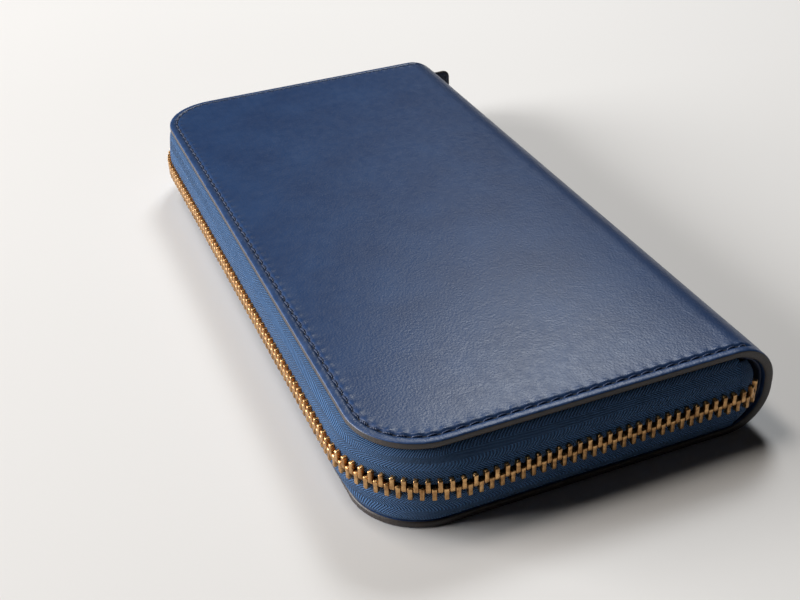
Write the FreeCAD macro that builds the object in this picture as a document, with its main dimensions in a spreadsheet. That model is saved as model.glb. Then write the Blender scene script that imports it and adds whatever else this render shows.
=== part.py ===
"""Long zip around wallet, closed and lying flat on its back cover.

Millimetres. X runs along the length, -Y is the long zip side, +Y is the folded spine, +Z is up.
The origin is the middle of the back cover's outer face. The back half is the fixed half. The
front half, the two dividers and the coin pocket turn about one axis along X inside the spine.
"""
import FreeCAD, Part
import math
import os
import re

import Sketcher

V = FreeCAD.Vector
UP = V(0, 0, 1)

# alias, value, what it is
SIZES = [
    ("length", 195.0, "cover, along X"),
    ("width", 100.0, "cover and spine, along Y"),
    ("thickness", 24.0, "closed wallet, along Z"),
    ("open_end", 4.0, "how far a cut is carried past an open side"),
    ("corner_radius", 17.0, "cover corners on the zip side"),
    ("spine_radius", 11.0, "outside bend of the spine"),
    ("spine_lap", 1.0, "flat stretch between a cover and the spine's bend"),
    ("cover_leather", 1.9, "bonded cover leather"),
    ("core", 0.5, "layer of board and zip tape under the cover"),
    ("lining", 0.6, "lining leather"),
    ("hinge_inset", 1.5, "from the spine's outer face in to the fold axis"),
    ("tape_inset", 0.4, "from the cover's edge in to the zip tape"),
    ("tape_flange", 7.0, "zip tape sewn under the cover"),
    ("lining_inset", 1.2, "from the cover's edge in to the lining's edge"),
    ("board_gap", 0.6, "between the zip tape and the board"),
    ("groove_inset", 2.8, "from the cover's edge to the seam"),
    ("groove_width", 1.1, "pressed seam line"),
    ("groove_depth", 0.6, "pressed seam line"),
    ("thread", 0.5, "thread diameter"),
    ("stitch_pitch", 3.35, "one stitch to the next"),
    ("stitch_gap", 0.75, "hole between two stitches"),
    ("stitch_end", 2.0, "from the spine's bend to the last stitch"),
    ("tape", 0.5, "zip tape thickness"),
    ("chain_out", 1.8, "from the cover's edge out to the middle of the zip tape"),
    ("chain_radius", 24.0, "zip's bend round a corner"),
    ("curl_start", 1.4, "from the cover's end at the spine to the zip's bend behind it"),
    ("curl_room", 5.0, "how much tighter the zip's bend behind the spine is than the spine's"),
    ("curl_height", 2.7, "tape left on the zip's bend behind the spine"),
    ("chain_start", 4.2, "from the tape's end to the first tooth"),
    ("ease", 0.05, "clearance between metal and tape"),
    ("tape_flat", 3.9, "tape that stands straight above its edge"),
    ("tape_edge", 1.3, "from the middle of the chain to a tape's edge"),
    ("pitch", 2.5, "one tooth to the next in a row"),
    ("tooth_width", 0.95, "tooth, along the chain"),
    ("tooth_length", 3.5, "tooth, across the chain"),
    ("tooth_depth", 2.6, "tooth, through the tape"),
    ("tooth_overlap", 1.2, "how far the two rows mesh"),
    ("panel", 0.7, "card panel"),
    ("panel_inset", 4.5, "from the cover's end in to a card panel"),
    ("panel_open", 5.0, "from the cover's front edge in to a card panel"),
    ("strip", 0.65, "card slot strip"),
    ("strip_inset", 8.5, "from the cover's end in to the card slots"),
    ("strip_gap", 2.0, "between the two columns of card slots"),
    ("strip_step", 12.0, "one card slot to the next"),
    ("strip_height", 24.0, "card slot strip, along Y"),
    ("strip_open", 10.0, "from the cover's front edge in to the first card slot"),
    ("leaf_gap", 2.0, "from the covers' edge at the spine in to the inner leaves"),
    ("divider", 0.6, "bill divider"),
    ("divider_level", 4.1, "from the middle leaf's plane to a divider"),
    ("divider_inset", 9.5, "from the cover's end in to a divider"),
    ("divider_open", 10.0, "from the cover's front edge in to a divider"),
    ("coin_inset", 11.5, "from the cover's end in to the coin pocket"),
    ("coin_open", 20.0, "from the cover's front edge in to the coin pocket's mouth"),
    ("coin_wall", 0.8, "coin pocket wall"),
    ("coin_inside", 2.2, "from the pocket's middle plane to its wall"),
    ("coin_binding", 1.6, "closed rim of the coin pocket"),
    ("binding_gap", 1.0, "from the coin zip tape to the closed rim"),
    ("coin_tape", 0.4, "coin zip tape"),
    ("coin_flange", 5.0, "coin zip tape sewn over the pocket wall"),
    ("coin_tape_edge", 1.0, "from the middle of the coin chain to a tape's edge"),
    ("coin_pitch", 2.0, "one coin zip tooth to the next"),
    ("coin_tooth_width", 0.8, "coin zip tooth, along the chain"),
    ("coin_tooth_length", 2.2, "coin zip tooth, across the chain"),
    ("coin_tooth_depth", 1.9, "coin zip tooth, through the tape"),
    ("coin_tooth_overlap", 0.9, "how far the coin zip's rows mesh"),
    ("coin_chain_start", 3.0, "from the coin tape's end to the first tooth"),
    ("coin_slider_clear", 0.6, "free chain inside the coin slider's tail"),
    ("coin_stop", 1.6, "coin zip stop, along and through the chain"),
    ("coin_end", 10.0, "from the coin pocket's end in to the coin zip's end"),
    ("leaf_radius", 5.0, "front corners of the inner leaves"),
    ("gusset", 0.6, "folded gusset cloth"),
    ("gusset_clear", 1.2, "from a leaf's end to the gusset's inner folds"),
    ("gusset_depth", 5.6, "gusset fold, along X"),
    ("gusset_open", 22.0, "from the cover's front edge in to the gusset"),
    ("slider_clear", 1.6, "free chain behind the main slider"),
    ("slider_length", 10.5, "main slider, along the chain"),
    ("slider_width", 9.2, "main slider, across the chain"),
    ("slider_plate", 0.9, "main slider's plates"),
    ("slider_channel", 1.5, "half the gap between the plates"),
    ("slider_slot", 0.6, "half the slot for the tape"),
    ("slider_rim", 1.1, "wall beside the chain"),
    ("slider_post", 1.0, "radius of the wedge that parts the rows"),
    ("post_inset", 0.4, "from a slider's nose in to its wedge"),
    ("rim_share", 0.6, "a slider's side walls, as a share of its length"),
    ("bridge_length", 6.2, "main slider's bridge, along the chain"),
    ("bridge_width", 2.0, "main slider's bridge"),
    ("bridge_rise", 3.0, "main slider's bridge above its plate"),
    ("bridge_bar", 0.9, "thickness of the bridge"),
    ("pin", 0.6, "radius of the pull's pin"),
    ("pin_rise", 1.1, "pull's pin above the plate"),
    ("pin_forward", 1.4, "pull's pin, ahead of the slider's middle"),
    ("ring_length", 6.2, "pull ring, from pin to bar"),
    ("ring_width", 10.4, "pull ring, outside"),
    ("ring_arm", 1.0, "pull ring's side arms"),
    ("tab_length", 19.3, "leather pull tab"),
    ("tab_width", 7.8, "leather pull tab"),
    ("tab", 1.8, "leather pull tab, two layers"),
    ("tab_head", 1.3, "leather behind the ring's bar"),
    ("tab_radius", 2.6, "corners of the pull tab's end"),
    ("coin_slider_end", 6.0, "from the coin zip's end to the coin slider's middle"),
    ("coin_slider_length", 8.4, "coin slider, along the chain"),
    ("coin_slider_width", 5.6, "coin slider, across the chain"),
    ("coin_slider_plate", 0.7, "coin slider's plates"),
    ("coin_slider_channel", 1.15, "half the gap between the plates"),
    ("coin_slider_slot", 0.5, "half the slot for the tape"),
    ("coin_slider_rim", 0.75, "wall beside the coin chain"),
    ("coin_slider_post", 0.7, "radius of the coin slider's wedge"),
    ("coin_bridge_length", 5.8, "coin slider's bridge, along the chain"),
    ("coin_bridge_width", 1.6, "coin slider's bridge"),
    ("coin_bridge_rise", 2.5, "coin slider's bridge above its plate"),
    ("coin_bridge_bar", 0.7, "thickness of the coin slider's bridge"),
    ("coin_pin", 0.5, "radius of the coin pull's pin"),
    ("coin_pin_rise", 0.95, "coin pull's pin above the plate"),
    ("coin_pin_forward", 1.1, "coin pull's pin, ahead of the slider's middle"),
    ("coin_pull_length", 12.0, "coin pull, from pin to tip"),
    ("coin_pull_width", 5.2, "coin pull"),
    ("coin_pull", 0.9, "coin pull's thickness"),
    ("coin_pull_round", 2.36, "corners of the coin pull's end"),
    ("coin_eye_end", 0.6, "room in the coin pull past the bridge, folded either way"),
    ("coin_eye_side", 0.4, "room in the coin pull beside the bridge"),
    ("stop_length", 2.2, "zip stop, along the chain"),
    ("stop_wall", 0.9, "zip stop's metal round the tape"),
]

doc = FreeCAD.newDocument("zip_around_wallet")
sheet = doc.addObject("Spreadsheet::Sheet", "sizes")
for row, (alias, number, meaning) in enumerate(SIZES, start=1):
    sheet.set(f"A{row}", meaning)
    sheet.set(f"B{row}", str(number))
    sheet.setAlias(f"B{row}", alias)
doc.recompute()

ALIASES = {alias for alias, number, meaning in SIZES}
FLAT_BACK = "(width / 2 - spine_radius - spine_lap)"
HALF = "(length / 2)"
FRONT = "(width / 2)"
MIDDLE = "(thickness / 2)"
CHAIN_BACK = f"({FLAT_BACK} + curl_start)"
CURL_RADIUS = "(spine_radius - curl_room)"
SLIDER_SPOT = f"({CHAIN_BACK} - stop_length - slider_length / 2 - 5 * ease)"
LEAF_BACK = f"({FLAT_BACK} - leaf_gap)"
STRIP_LENGTH = f"({HALF} - strip_inset - strip_gap / 2)"
DIVIDER_HALF = f"({HALF} - divider_inset)"
COIN_HALF = f"({HALF} - coin_inset)"
COIN_FRONT = f"({FRONT} - coin_open)"
COIN_CHAIN = f"({COIN_HALF} - coin_end)"
COIN_SPOT = f"({COIN_CHAIN} - coin_slider_end)"
COIN_WALL_FRONT = f"({COIN_FRONT} - coin_slider_channel - coin_slider_plate - 4 * ease)"
CARD_ROWS = 4
parts = {}


def qualify(text):
    """The expression with each size read from the sheet."""
    return re.sub(r"[a-z_]+", lambda w: f"sizes.{w[0]}" if w[0] in ALIASES else w[0], text)


def value(text):
    return float(sheet.evalExpression(qualify(text)))


def bind(thing, path, text):
    thing.setExpression(path, qualify(text))


def keep(node, thing):
    """Registers a finished sub-part under the name its file gets."""
    thing.Label = node
    parts[node] = thing
    return thing


def new_body(node):
    return keep(node, doc.addObject("PartDesign::Body", node))


def place(thing, x="0", y="0", z="0", rotation=None):
    if rotation:
        thing.Placement = FreeCAD.Placement(V(), rotation)
    for axis, text in zip("xyz", (x, y, z)):
        bind(thing, f"Placement.Base.{axis}", text)


def front_side(level):
    """A height measured from the wallet's middle plane, on the front half."""
    return f"({MIDDLE} + ({level}))"


def back_side(level):
    return f"({MIDDLE} - ({level}))"


def span(side, near, far):
    """Lower height and thickness of a layer between two distances from the middle plane."""
    low = side(near) if side is front_side else side(far)
    return low, f"(({far}) - ({near}))"


# ---------------------------------------------------------------- sketches and features


def outline(sketch, name, half, front, back, radius):
    """A closed outline about the Y axis, round at its two front corners and square behind."""
    w, f, b, r = (value(text) for text in (half, front, back, radius))
    first = sketch.GeometryCount
    right, bend_right, ahead, bend_left, left, behind = range(first, first + 6)
    quarter = math.pi / 2
    sketch.addGeometry(
        [
            Part.LineSegment(V(w, b, 0), V(w, f + r, 0)),
            Part.ArcOfCircle(Part.Circle(V(w - r, f + r, 0), UP, r), -quarter, 0),
            Part.LineSegment(V(w - r, f, 0), V(r - w, f, 0)),
            Part.ArcOfCircle(Part.Circle(V(r - w, f + r, 0), UP, r), 2 * quarter, 3 * quarter),
            Part.LineSegment(V(-w, f + r, 0), V(-w, b, 0)),
            Part.LineSegment(V(-w, b, 0), V(w, b, 0)),
        ],
        False,
    )
    rule = Sketcher.Constraint
    sketch.addConstraint(
        [
            rule("Tangent", right, 2, bend_right, 2),
            rule("Tangent", bend_right, 1, ahead, 1),
            rule("Tangent", ahead, 2, bend_left, 2),
            rule("Tangent", bend_left, 1, left, 1),
            rule("Coincident", left, 2, behind, 1),
            rule("Coincident", behind, 2, right, 1),
            rule("Vertical", right),
            rule("Vertical", left),
            rule("Horizontal", ahead),
            rule("Equal", bend_right, bend_left),
            rule("Symmetric", behind, 1, behind, 2, -2),
        ]
    )
    sized = [
        ("half", rule("DistanceX", -1, 1, right, 1, w), half),
        ("front", rule("DistanceY", -1, 1, ahead, 1, f), front),
        ("back", rule("DistanceY", -1, 1, behind, 1, b), back),
        ("radius", rule("Radius", bend_right, r), radius),
    ]
    for word, constraint, text in sized:
        number = sketch.addConstraint(constraint)
        sketch.renameConstraint(number, f"{name}_{word}")
        bind(sketch, f"Constraints.{name}_{word}", text)


def new_sketch(body, name, height="0"):
    sketch = body.newObject("Sketcher::SketchObject", f"{body.Name}_{name}")
    plane = next(o for o in body.Origin.OriginFeatures if o.Role == "XY_Plane")
    sketch.AttachmentSupport = [(plane, "")]
    sketch.MapMode = "FlatFace"
    bind(sketch, "AttachmentOffset.Base.z", height)
    return sketch


def outline_sketch(body, name, height, *outlines):
    sketch = new_sketch(body, name, height)
    for number, sizes in enumerate(outlines):
        outline(sketch, f"edge{number}", *sizes)
    return sketch


def pad(body, sketch, length, midplane=False):
    feature = body.newObject("PartDesign::Pad", f"{sketch.Name}_pad")
    feature.Profile = sketch
    feature.Midplane = midplane
    bind(feature, "Length", length)
    return feature


def pocket(body, sketch, length, upward=False, midplane=False):
    """A pocket cuts down from its sketch, or up; either way it must take material away."""
    doc.recompute()
    before = body.Shape.Volume
    feature = body.newObject("PartDesign::Pocket", f"{sketch.Name}_pocket")
    feature.Profile = sketch
    feature.Reversed = upward
    feature.Midplane = midplane
    bind(feature, "Length", length)
    doc.recompute()
    if body.Shape.Volume >= before:
        raise ValueError(f"{feature.Name} cuts nothing")
    return feature


def add_primitive(body, kind, name, sizes, x="0", y="0", z="0", rotation=None):
    feature = body.newObject(f"PartDesign::{kind}", f"{body.Name}_{name}")
    for prop, text in sizes.items():
        bind(feature, prop, text)
    place(feature, x, y, z, rotation)
    return feature


def add_box(body, name, length, width, height, x, y, z, cut=False):
    """A box centred on x and y that stands on height z."""
    kind = "SubtractiveBox" if cut else "AdditiveBox"
    sizes = {"Length": length, "Width": width, "Height": height}
    corner_x = f"({x}) - ({length}) / 2"
    corner_y = f"({y}) - ({width}) / 2"
    return add_primitive(body, kind, name, sizes, corner_x, corner_y, z)


def add_rod(body, name, radius, length, y, z, cut=False):
    """A round bar along X, centred."""
    kind = "SubtractiveCylinder" if cut else "AdditiveCylinder"
    sizes = {"Radius": radius, "Height": length}
    along_x = FreeCAD.Rotation(V(0, 1, 0), 90)
    return add_primitive(body, kind, name, sizes, f"-({length}) / 2", y, z, along_x)


def fillet_edges(body, name, radius, wanted):
    """Rounds the edges of the body that the test picks."""
    doc.recompute()
    base = body.Tip
    picked = [f"Edge{n}" for n, e in enumerate(base.Shape.Edges, start=1) if wanted(e)]
    feature = body.newObject("PartDesign::Fillet", f"{body.Name}_{name}")
    feature.Base = (base, picked)
    bind(feature, "Radius", radius)
    return feature


def runs_along(edge, direction):
    line = edge.Curve
    return isinstance(line, Part.Line) and abs(line.Direction.dot(direction)) > 0.999


# ---------------------------------------------------------------- covers, boards, linings


def inset_outline(inset, back):
    """The cover's outline, moved in from its edge."""
    return (
        f"{HALF} - ({inset})",
        f"-width / 2 + ({inset})",
        back,
        f"corner_radius - ({inset})",
    )


def slab(node, side, near, far, *sizes):
    """A flat sheet between two distances from the middle plane."""
    low, depth = span(side, near, far)
    body = new_body(node)
    pad(body, outline_sketch(body, "edge", low, sizes), depth)
    return body


def cover(node, side):
    """Flat leather with a pressed seam line that stays open at the spine."""
    body = slab(
        node, side, f"{MIDDLE} - cover_leather", MIDDLE, *inset_outline("0", FLAT_BACK)
    )
    outer = inset_outline("groove_inset - groove_width / 2", f"{FLAT_BACK} + 2 * open_end")
    inner = inset_outline("groove_inset + groove_width / 2", f"{FLAT_BACK} + open_end")
    groove = outline_sketch(body, "groove", side(MIDDLE), outer, inner)
    pocket(body, groove, "groove_depth", upward=side is back_side)


def stitching(node, side):
    """Short threads that lie in the seam line, as one group."""
    inset = value("groove_inset")
    radius = value("corner_radius") - inset
    end = value(f"{FLAT_BACK} - stitch_end")
    run = end + value("width") / 2 - inset - radius
    across = value("length") - 2 * inset - 2 * radius
    route = [("run", run), ("turn", radius), ("run", across), ("turn", radius), ("run", run)]
    start = V(value("length") / 2 - inset, end, 0)
    pitch = value("stitch_pitch")
    count = int(route_length(route) / pitch)
    pitch = route_length(route) / count
    long = pitch - value("stitch_gap")
    radius = value("thread") / 2
    sunk = value("groove_depth - ease") - radius
    level = value(side(MIDDLE)) + (-sunk if side is front_side else sunk)
    thread = Part.makeCylinder(radius, long, V(-long / 2, 0, 0), V(1, 0, 0))
    spots = [along(route, start, -90, (n + 0.5) * pitch) for n in range(count)]
    threads = [placed(thread, point + V(0, 0, level), turn) for point, turn in spots]
    return group(node, threads)


def spine_layer(node, near, far, length):
    """A bent sheet that joins the two covers, between two depths from the outer face."""
    body = new_body(node)
    axes = FreeCAD.Rotation(UP, V(0, -1, 0), V(1, 0, 0), "XYZ")
    place(body, z=MIDDLE, rotation=axes)
    solid = (
        f"{MIDDLE} - ({near})",
        f"-width / 2 + ({near})",
        f"-{FLAT_BACK}",
        f"spine_radius - ({near})",
    )
    hollow = (
        f"{MIDDLE} - ({far})",
        f"-width / 2 + ({far})",
        f"-{FLAT_BACK} + spine_radius",
        f"spine_radius - ({far})",
    )
    pad(body, outline_sketch(body, "outside", "0", solid), length, midplane=True)
    inside = outline_sketch(body, "inside", "0", hollow)
    pocket(body, inside, f"{length} + open_end", midplane=True)


# ---------------------------------------------------------------- zip


def route_length(route):
    return sum(size * (math.pi / 2 if kind == "turn" else 1) for kind, size in route)


def along(route, start, heading, distance):
    """Point and heading in degrees after a distance; every turn is a right-hand quarter."""
    point = FreeCAD.Vector(start)
    for kind, size in route:
        length = size * math.pi / 2 if kind == "turn" else size
        here = min(distance, length)
        a = math.radians(heading)
        ahead = V(math.cos(a), math.sin(a), 0)
        if kind == "run":
            point = point + ahead * here
        else:
            right = V(math.sin(a), -math.cos(a), 0)
            bend = here / size
            point = point + ahead * (size * math.sin(bend)) + right * (size * (1 - math.cos(bend)))
            heading -= math.degrees(bend)
        distance -= here
        if distance <= 0:
            break
    return point, heading


def placed(shape, point, turn):
    copy = shape.copy()
    copy.Placement = FreeCAD.Placement(point, FreeCAD.Rotation(UP, turn))
    return copy


def group(node, solids):
    """Many like solids in one node."""
    feature = doc.addObject("Part::Feature", node)
    feature.Shape = Part.makeCompound(solids)
    return keep(node, feature)


def tooth(prefix, upward, room):
    """A tooth across the chain: its head passes the middle, its legs straddle the tape.
    It is no wider than the room it has between the other row's teeth."""
    width = min(value(f"{prefix}tooth_width"), value(room))
    depth = value(f"{prefix}tooth_depth")
    length = value(f"{prefix}tooth_length")
    tape = value(f"{prefix}tape + 2 * ease")
    foot = -value(f"{prefix}tooth_overlap") / 2
    edge = value(f"{prefix}tape_edge - 2 * ease")
    block = Part.makeBox(width, depth, length, V(-width / 2, -depth / 2, foot))
    slot = Part.makeBox(2 * width, tape, length, V(-width, -tape / 2, edge))
    shape = block.cut(slot)
    return shape if upward else shape.mirror(V(), UP)


def zip_route():
    """The chain's middle line, from behind the spine's right end round to its left end."""
    out = value("chain_out")
    half = value("length") / 2 + out
    front = value("width") / 2 + out
    back = value(CHAIN_BACK)
    bend, curl = value("chain_radius"), value(CURL_RADIUS)
    side = back + front - bend
    across = 2 * (half - bend)
    route = [
        ("turn", curl),
        ("run", side),
        ("turn", bend),
        ("run", across),
        ("turn", bend),
        ("run", side),
        ("turn", curl),
    ]
    return route, V(half - curl, back + curl, value(MIDDLE))


def main_teeth(node, upward):
    route, start = zip_route()
    pitch = value("pitch")
    shape = tooth("", upward, f"pitch / 2 * (1 - tooth_depth / 2 / {CURL_RADIUS}) - ease / 2")
    first = value("chain_start") + (0 if upward else pitch / 2)
    rear = value(f"{SLIDER_SPOT} - slider_length / 2 - slider_clear")
    end = route_length(route[:6]) - (value(CHAIN_BACK) - rear) - value("tooth_width") / 2
    count = int((end - first) / pitch) + 1
    spots = [along(route, start, 0, first + n * pitch) for n in range(count)]
    return group(node, [placed(shape, point, turn) for point, turn in spots])


def tape_outline(offset):
    """The zip tape's upright wall in plan, moved out from its middle."""
    reach = f"chain_out + ({offset})"
    return (
        f"{HALF} + {reach}",
        f"-width / 2 - ({reach})",
        f"chain_radius + ({offset})",
    )


def main_tape(node, side, curl_angles):
    """Tape that is sewn flat under the cover, turns down at its edge and stands to the chain."""
    body = new_body(node)
    seat = f"{MIDDLE} - cover_leather - core"
    levels = ("tape_edge", "tape_edge + tape_flat", seat)
    for name, skin, past in (("outer", "tape / 2", "0"), ("inner", "-tape / 2", "open_end")):
        sections = []
        for number, level in enumerate(levels[:2]):
            half, front, radius = tape_outline(skin)
            sizes = (half, front, f"{CHAIN_BACK} + {past}", radius)
            sections.append(outline_sketch(body, f"{name}{number}", side(level), sizes))
        inset = "tape_inset" if name == "outer" else "tape_inset + tape"
        rim = inset_outline(inset, f"{CHAIN_BACK} + {past}")
        last = outline_sketch(body, f"{name}2", side(seat), rim)
        kind = "AdditiveLoft" if name == "outer" else "SubtractiveLoft"
        loft = body.newObject(f"PartDesign::{kind}", f"{body.Name}_{name}_loft")
        loft.Profile = sections[0]
        loft.Sections = [sections[1], last]
        loft.Ruled = True
        doc.recompute()
    low, depth = span(side, seat, f"{seat} + core")
    rim = inset_outline("tape_inset", f"{FLAT_BACK} + spine_lap")
    hole = inset_outline("tape_inset + tape_flange", f"{CHAIN_BACK} + open_end")
    pad(body, outline_sketch(body, "flange", low, rim), depth)
    doc.recompute()
    flange_top = f"({low}) + {depth}"
    pocket(body, outline_sketch(body, "window", flange_top, hole), depth)
    low, depth = span(side, "tape_edge", "tape_edge + curl_height")
    for number, hand in enumerate((1, -1)):
        add_curl(body, number, hand, low, depth, curl_angles[number])


def add_curl(body, number, hand, low, depth, angle):
    """The tape's end that bends in behind the spine: a strip turned about an upright axis."""
    sketch = body.newObject("Sketcher::SketchObject", f"{body.Name}_curl{number}")
    plane = next(o for o in body.Origin.OriginFeatures if o.Role == "XZ_Plane")
    sketch.AttachmentSupport = [(plane, "")]
    sketch.MapMode = "FlatFace"
    bind(sketch, "AttachmentOffset.Base.x", f"{hand} * ({HALF} + chain_out - {CURL_RADIUS})")
    bind(sketch, "AttachmentOffset.Base.y", low)
    bind(sketch, "AttachmentOffset.Base.z", f"-{CHAIN_BACK}")
    near, far, tall = (
        hand * value(f"{CURL_RADIUS} - tape / 2"),
        hand * value(f"{CURL_RADIUS} + tape / 2"),
        value(depth),
    )
    corners = [V(near, 0, 0), V(far, 0, 0), V(far, tall, 0), V(near, tall, 0)]
    sides = [Part.LineSegment(a, b) for a, b in zip(corners, corners[1:] + corners[:1])]
    sketch.addGeometry(sides, False)
    rule = Sketcher.Constraint
    sketch.addConstraint(
        [rule("Coincident", n, 2, (n + 1) % 4, 1) for n in range(4)]
        + [rule("Horizontal", 0), rule("Horizontal", 2), rule("Vertical", 1), rule("Vertical", 3)]
        + [rule("PointOnObject", 0, 1, -1)]
    )
    sized = [
        ("near", rule("DistanceX", -1, 1, 0, 1, near), f"{hand} * ({CURL_RADIUS} - tape / 2)"),
        ("far", rule("DistanceX", -1, 1, 0, 2, far), f"{hand} * ({CURL_RADIUS} + tape / 2)"),
        ("tall", rule("DistanceY", 1, 1, 1, 2, tall), depth),
    ]
    for word, constraint, text in sized:
        sketch.renameConstraint(sketch.addConstraint(constraint), word)
        bind(sketch, f"Constraints.{word}", text)
    turn = body.newObject("PartDesign::Revolution", f"{body.Name}_curl{number}_turn")
    turn.Profile = sketch
    turn.ReferenceAxis = (sketch, ["V_Axis"])
    turn.Angle = angle
    turn.Reversed = hand < 0
    doc.recompute()


def top_stop(node, side):
    """A clamp on one tape, just past the slider's nose."""
    low, depth = span(side, "tape_edge - ease", "tape_edge + curl_height")
    body = new_body(node)
    x = f"-({HALF} + chain_out)"
    y = f"{SLIDER_SPOT} + (slider_length + stop_length) / 2 + 4 * ease"
    add_box(body, "block", "tape + 2 * stop_wall", "stop_length", depth, x, y, low)
    slot_low, slot_depth = span(side, "tape_edge", "tape_edge + tooth_length")
    add_box(body, "slot", "tape + 2 * ease", "2 * stop_length", slot_depth, x, y, slot_low, cut=True)


def bottom_stop(node):
    """The box that ends the chain, clamped on the back half's tape behind the spine."""
    low, depth = span(back_side, "-tape_edge - stop_wall", "tape_edge + curl_height - 2 * stop_wall / 3")
    body = new_body(node)
    x = f"{HALF} + chain_out - {CURL_RADIUS} - stop_length / 2"
    y = f"{CHAIN_BACK} + {CURL_RADIUS}"
    add_box(body, "block", "stop_length", "tape + 2 * stop_wall", depth, x, y, low)
    return body


# ---------------------------------------------------------------- sliders and pulls


def slider(prefix, rotation, x, y, z):
    """Slider in its own frame: nose along +Y, outer plate and bridge along +Z, rims at +-X."""

    def size(word):
        return f"{prefix}{word}"

    channel = size("slider_channel")
    plate = size("slider_plate")
    length = size("slider_length")
    width = size("slider_width")
    rim = size("slider_rim")
    slot = size("slider_slot")
    body = new_body(f"{prefix or 'main_'}slider")
    place(body, x, y, z, rotation)
    nose = f"{length} / 2 - {size('slider_post')} - post_inset"
    post = {"Radius": size("slider_post"), "Height": f"2 * {channel}"}
    add_primitive(body, "AdditiveCylinder", "post", post, y=nose, z=f"-{channel}")
    add_box(body, "outer_plate", width, length, plate, "0", "0", channel)
    add_box(body, "inner_plate", width, length, plate, "0", "0", f"-{channel} - {plate}")
    fillet_edges(
        body,
        "plate_corners",
        f"{length} / 5",
        lambda edge: runs_along(edge, UP) and edge.BoundBox.XLength < 1e-6,
    )
    wall = f"({channel} - {slot})"
    for hand in (1, -1):
        rim_x = f"{hand} * ({width} - {rim}) / 2"
        rim_length = f"{length} * rim_share"
        add_box(body, f"rim_out{hand + 1}", rim, rim_length, wall, rim_x, "0", slot)
        add_box(body, f"rim_in{hand + 1}", rim, rim_length, wall, rim_x, "0", f"-{channel}")

    bridge = new_body(f"{prefix or 'main_'}slider_bridge")
    place(bridge, x, y, z, rotation)
    top = f"{channel} + {plate}"
    rise, bar = size("bridge_rise"), size("bridge_bar")
    span_y = size("bridge_length")
    add_box(bridge, "arch", size("bridge_width"), span_y, rise, "0", "0", top)
    gap = f"{span_y} - 2 * {bar}"
    hollow = f"{rise} - {bar}"
    add_box(bridge, "eye", f"2 * {size('bridge_width')}", gap, hollow, "0", "0", top, cut=True)
    crown = value(f"{top} + {rise}")
    fillet_edges(
        bridge,
        "crown",
        bar,
        lambda edge: runs_along(edge, V(1, 0, 0)) and edge.BoundBox.ZMin > crown - 1e-6,
    )


def main_pull(rotation, x, y, z):
    """A ring on its pin under the bridge, and a folded leather tab on the ring's bar."""
    ring = new_body("pull_ring")
    place(ring, x, y, z, rotation)
    pin_z = "slider_channel + slider_plate + pin_rise"
    bar_y = "pin_forward + ring_length"
    add_rod(ring, "pin", "pin", "ring_width", "pin_forward", pin_z)
    arm_x = "(ring_width - ring_arm) / 2"
    arm_y = "pin_forward + ring_length / 2"
    arm_z = f"{pin_z} - pin"
    for hand in (1, -1):
        arm = (f"{hand} * {arm_x}", arm_y, arm_z)
        add_box(ring, f"arm{hand + 1}", "ring_arm", "ring_length", "2 * pin", *arm)
    add_rod(ring, "bar", "pin", "ring_width", bar_y, pin_z)

    tab = new_body("pull_tab")
    place(tab, x, y, z, rotation)
    tab_y = f"{bar_y} + tab_length / 2 - tab_head"
    tab_z = f"{pin_z} - tab / 2"
    add_box(tab, "leather", "tab_width", "tab_length", "tab", "0", tab_y, tab_z)
    tip = value(f"{bar_y} + tab_length - tab_head")
    fillet_edges(
        tab,
        "tip",
        "tab_radius",
        lambda edge: runs_along(edge, UP) and edge.BoundBox.YMin > tip - 1e-6,
    )
    add_rod(tab, "loop", "pin + 2 * ease", "2 * tab_width", bar_y, pin_z, cut=True)


def coin_pull(rotation, x, y, z):
    """A flat metal pull, cut out round the bridge and turning on its own pin."""
    body = new_body("coin_pull")
    place(body, x, y, z, rotation)
    pin_z = "coin_slider_channel + coin_slider_plate + coin_pin_rise"
    low = f"{pin_z} - coin_pull / 2"
    middle = "coin_pin_forward + coin_pull_length / 2"
    size = ("coin_pull_width", "coin_pull_length", "coin_pull")
    add_box(body, "plate", *size, "0", middle, low)
    tip = value("coin_pin_forward + coin_pull_length")
    fillet_edges(
        body,
        "tip",
        "coin_pull_round",
        lambda edge: runs_along(edge, UP) and edge.BoundBox.YMin > tip - 1e-6,
    )
    window = "coin_bridge_length / 2 + coin_pin_forward + coin_eye_end"
    window_y = f"coin_pin_forward + ({window}) / 2 - 2 * ease"
    eye_width = "coin_bridge_width + 2 * coin_eye_side"
    eye = (eye_width, f"({window}) + 4 * ease", "2 * coin_pull")
    add_box(body, "window", *eye, "0", window_y, f"{low} - coin_pull / 2", cut=True)
    add_rod(body, "pin", "coin_pin", "coin_pull_width", "coin_pin_forward", pin_z)


# ---------------------------------------------------------------- inside


def leaf(node, side, near, far, half, front, back=LEAF_BACK):
    """A flat inner sheet with small front corners."""
    return slab(node, side, near, far, half, f"-({front})", back, "leaf_radius")


def card_slots(node, side):
    """Two columns of stepped strips on the card panel, as one group."""
    base = f"({MIDDLE} - cover_leather - core - lining - panel)"
    strips = []
    for step in range(CARD_ROWS):
        low, depth = span(side, f"{base} - {step + 1} * strip", f"{base} - {step} * strip")
        edge = f"{step} * strip_step - {FRONT} + strip_open"
        last = step == CARD_ROWS - 1
        for hand in (1, -1):
            box = doc.addObject("Part::Box", f"{node}_strip")
            bind(box, "Length", STRIP_LENGTH)
            bind(box, "Width", f"{LEAF_BACK} - ({edge})" if last else "strip_height")
            bind(box, "Height", depth)
            middle = f"{hand} * ({STRIP_LENGTH} + strip_gap) / 2"
            place(box, f"{middle} - {STRIP_LENGTH} / 2", edge, low)
            strips.append(box)
    whole = doc.addObject("Part::Compound", node)
    whole.Links = strips
    return keep(node, whole)


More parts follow.
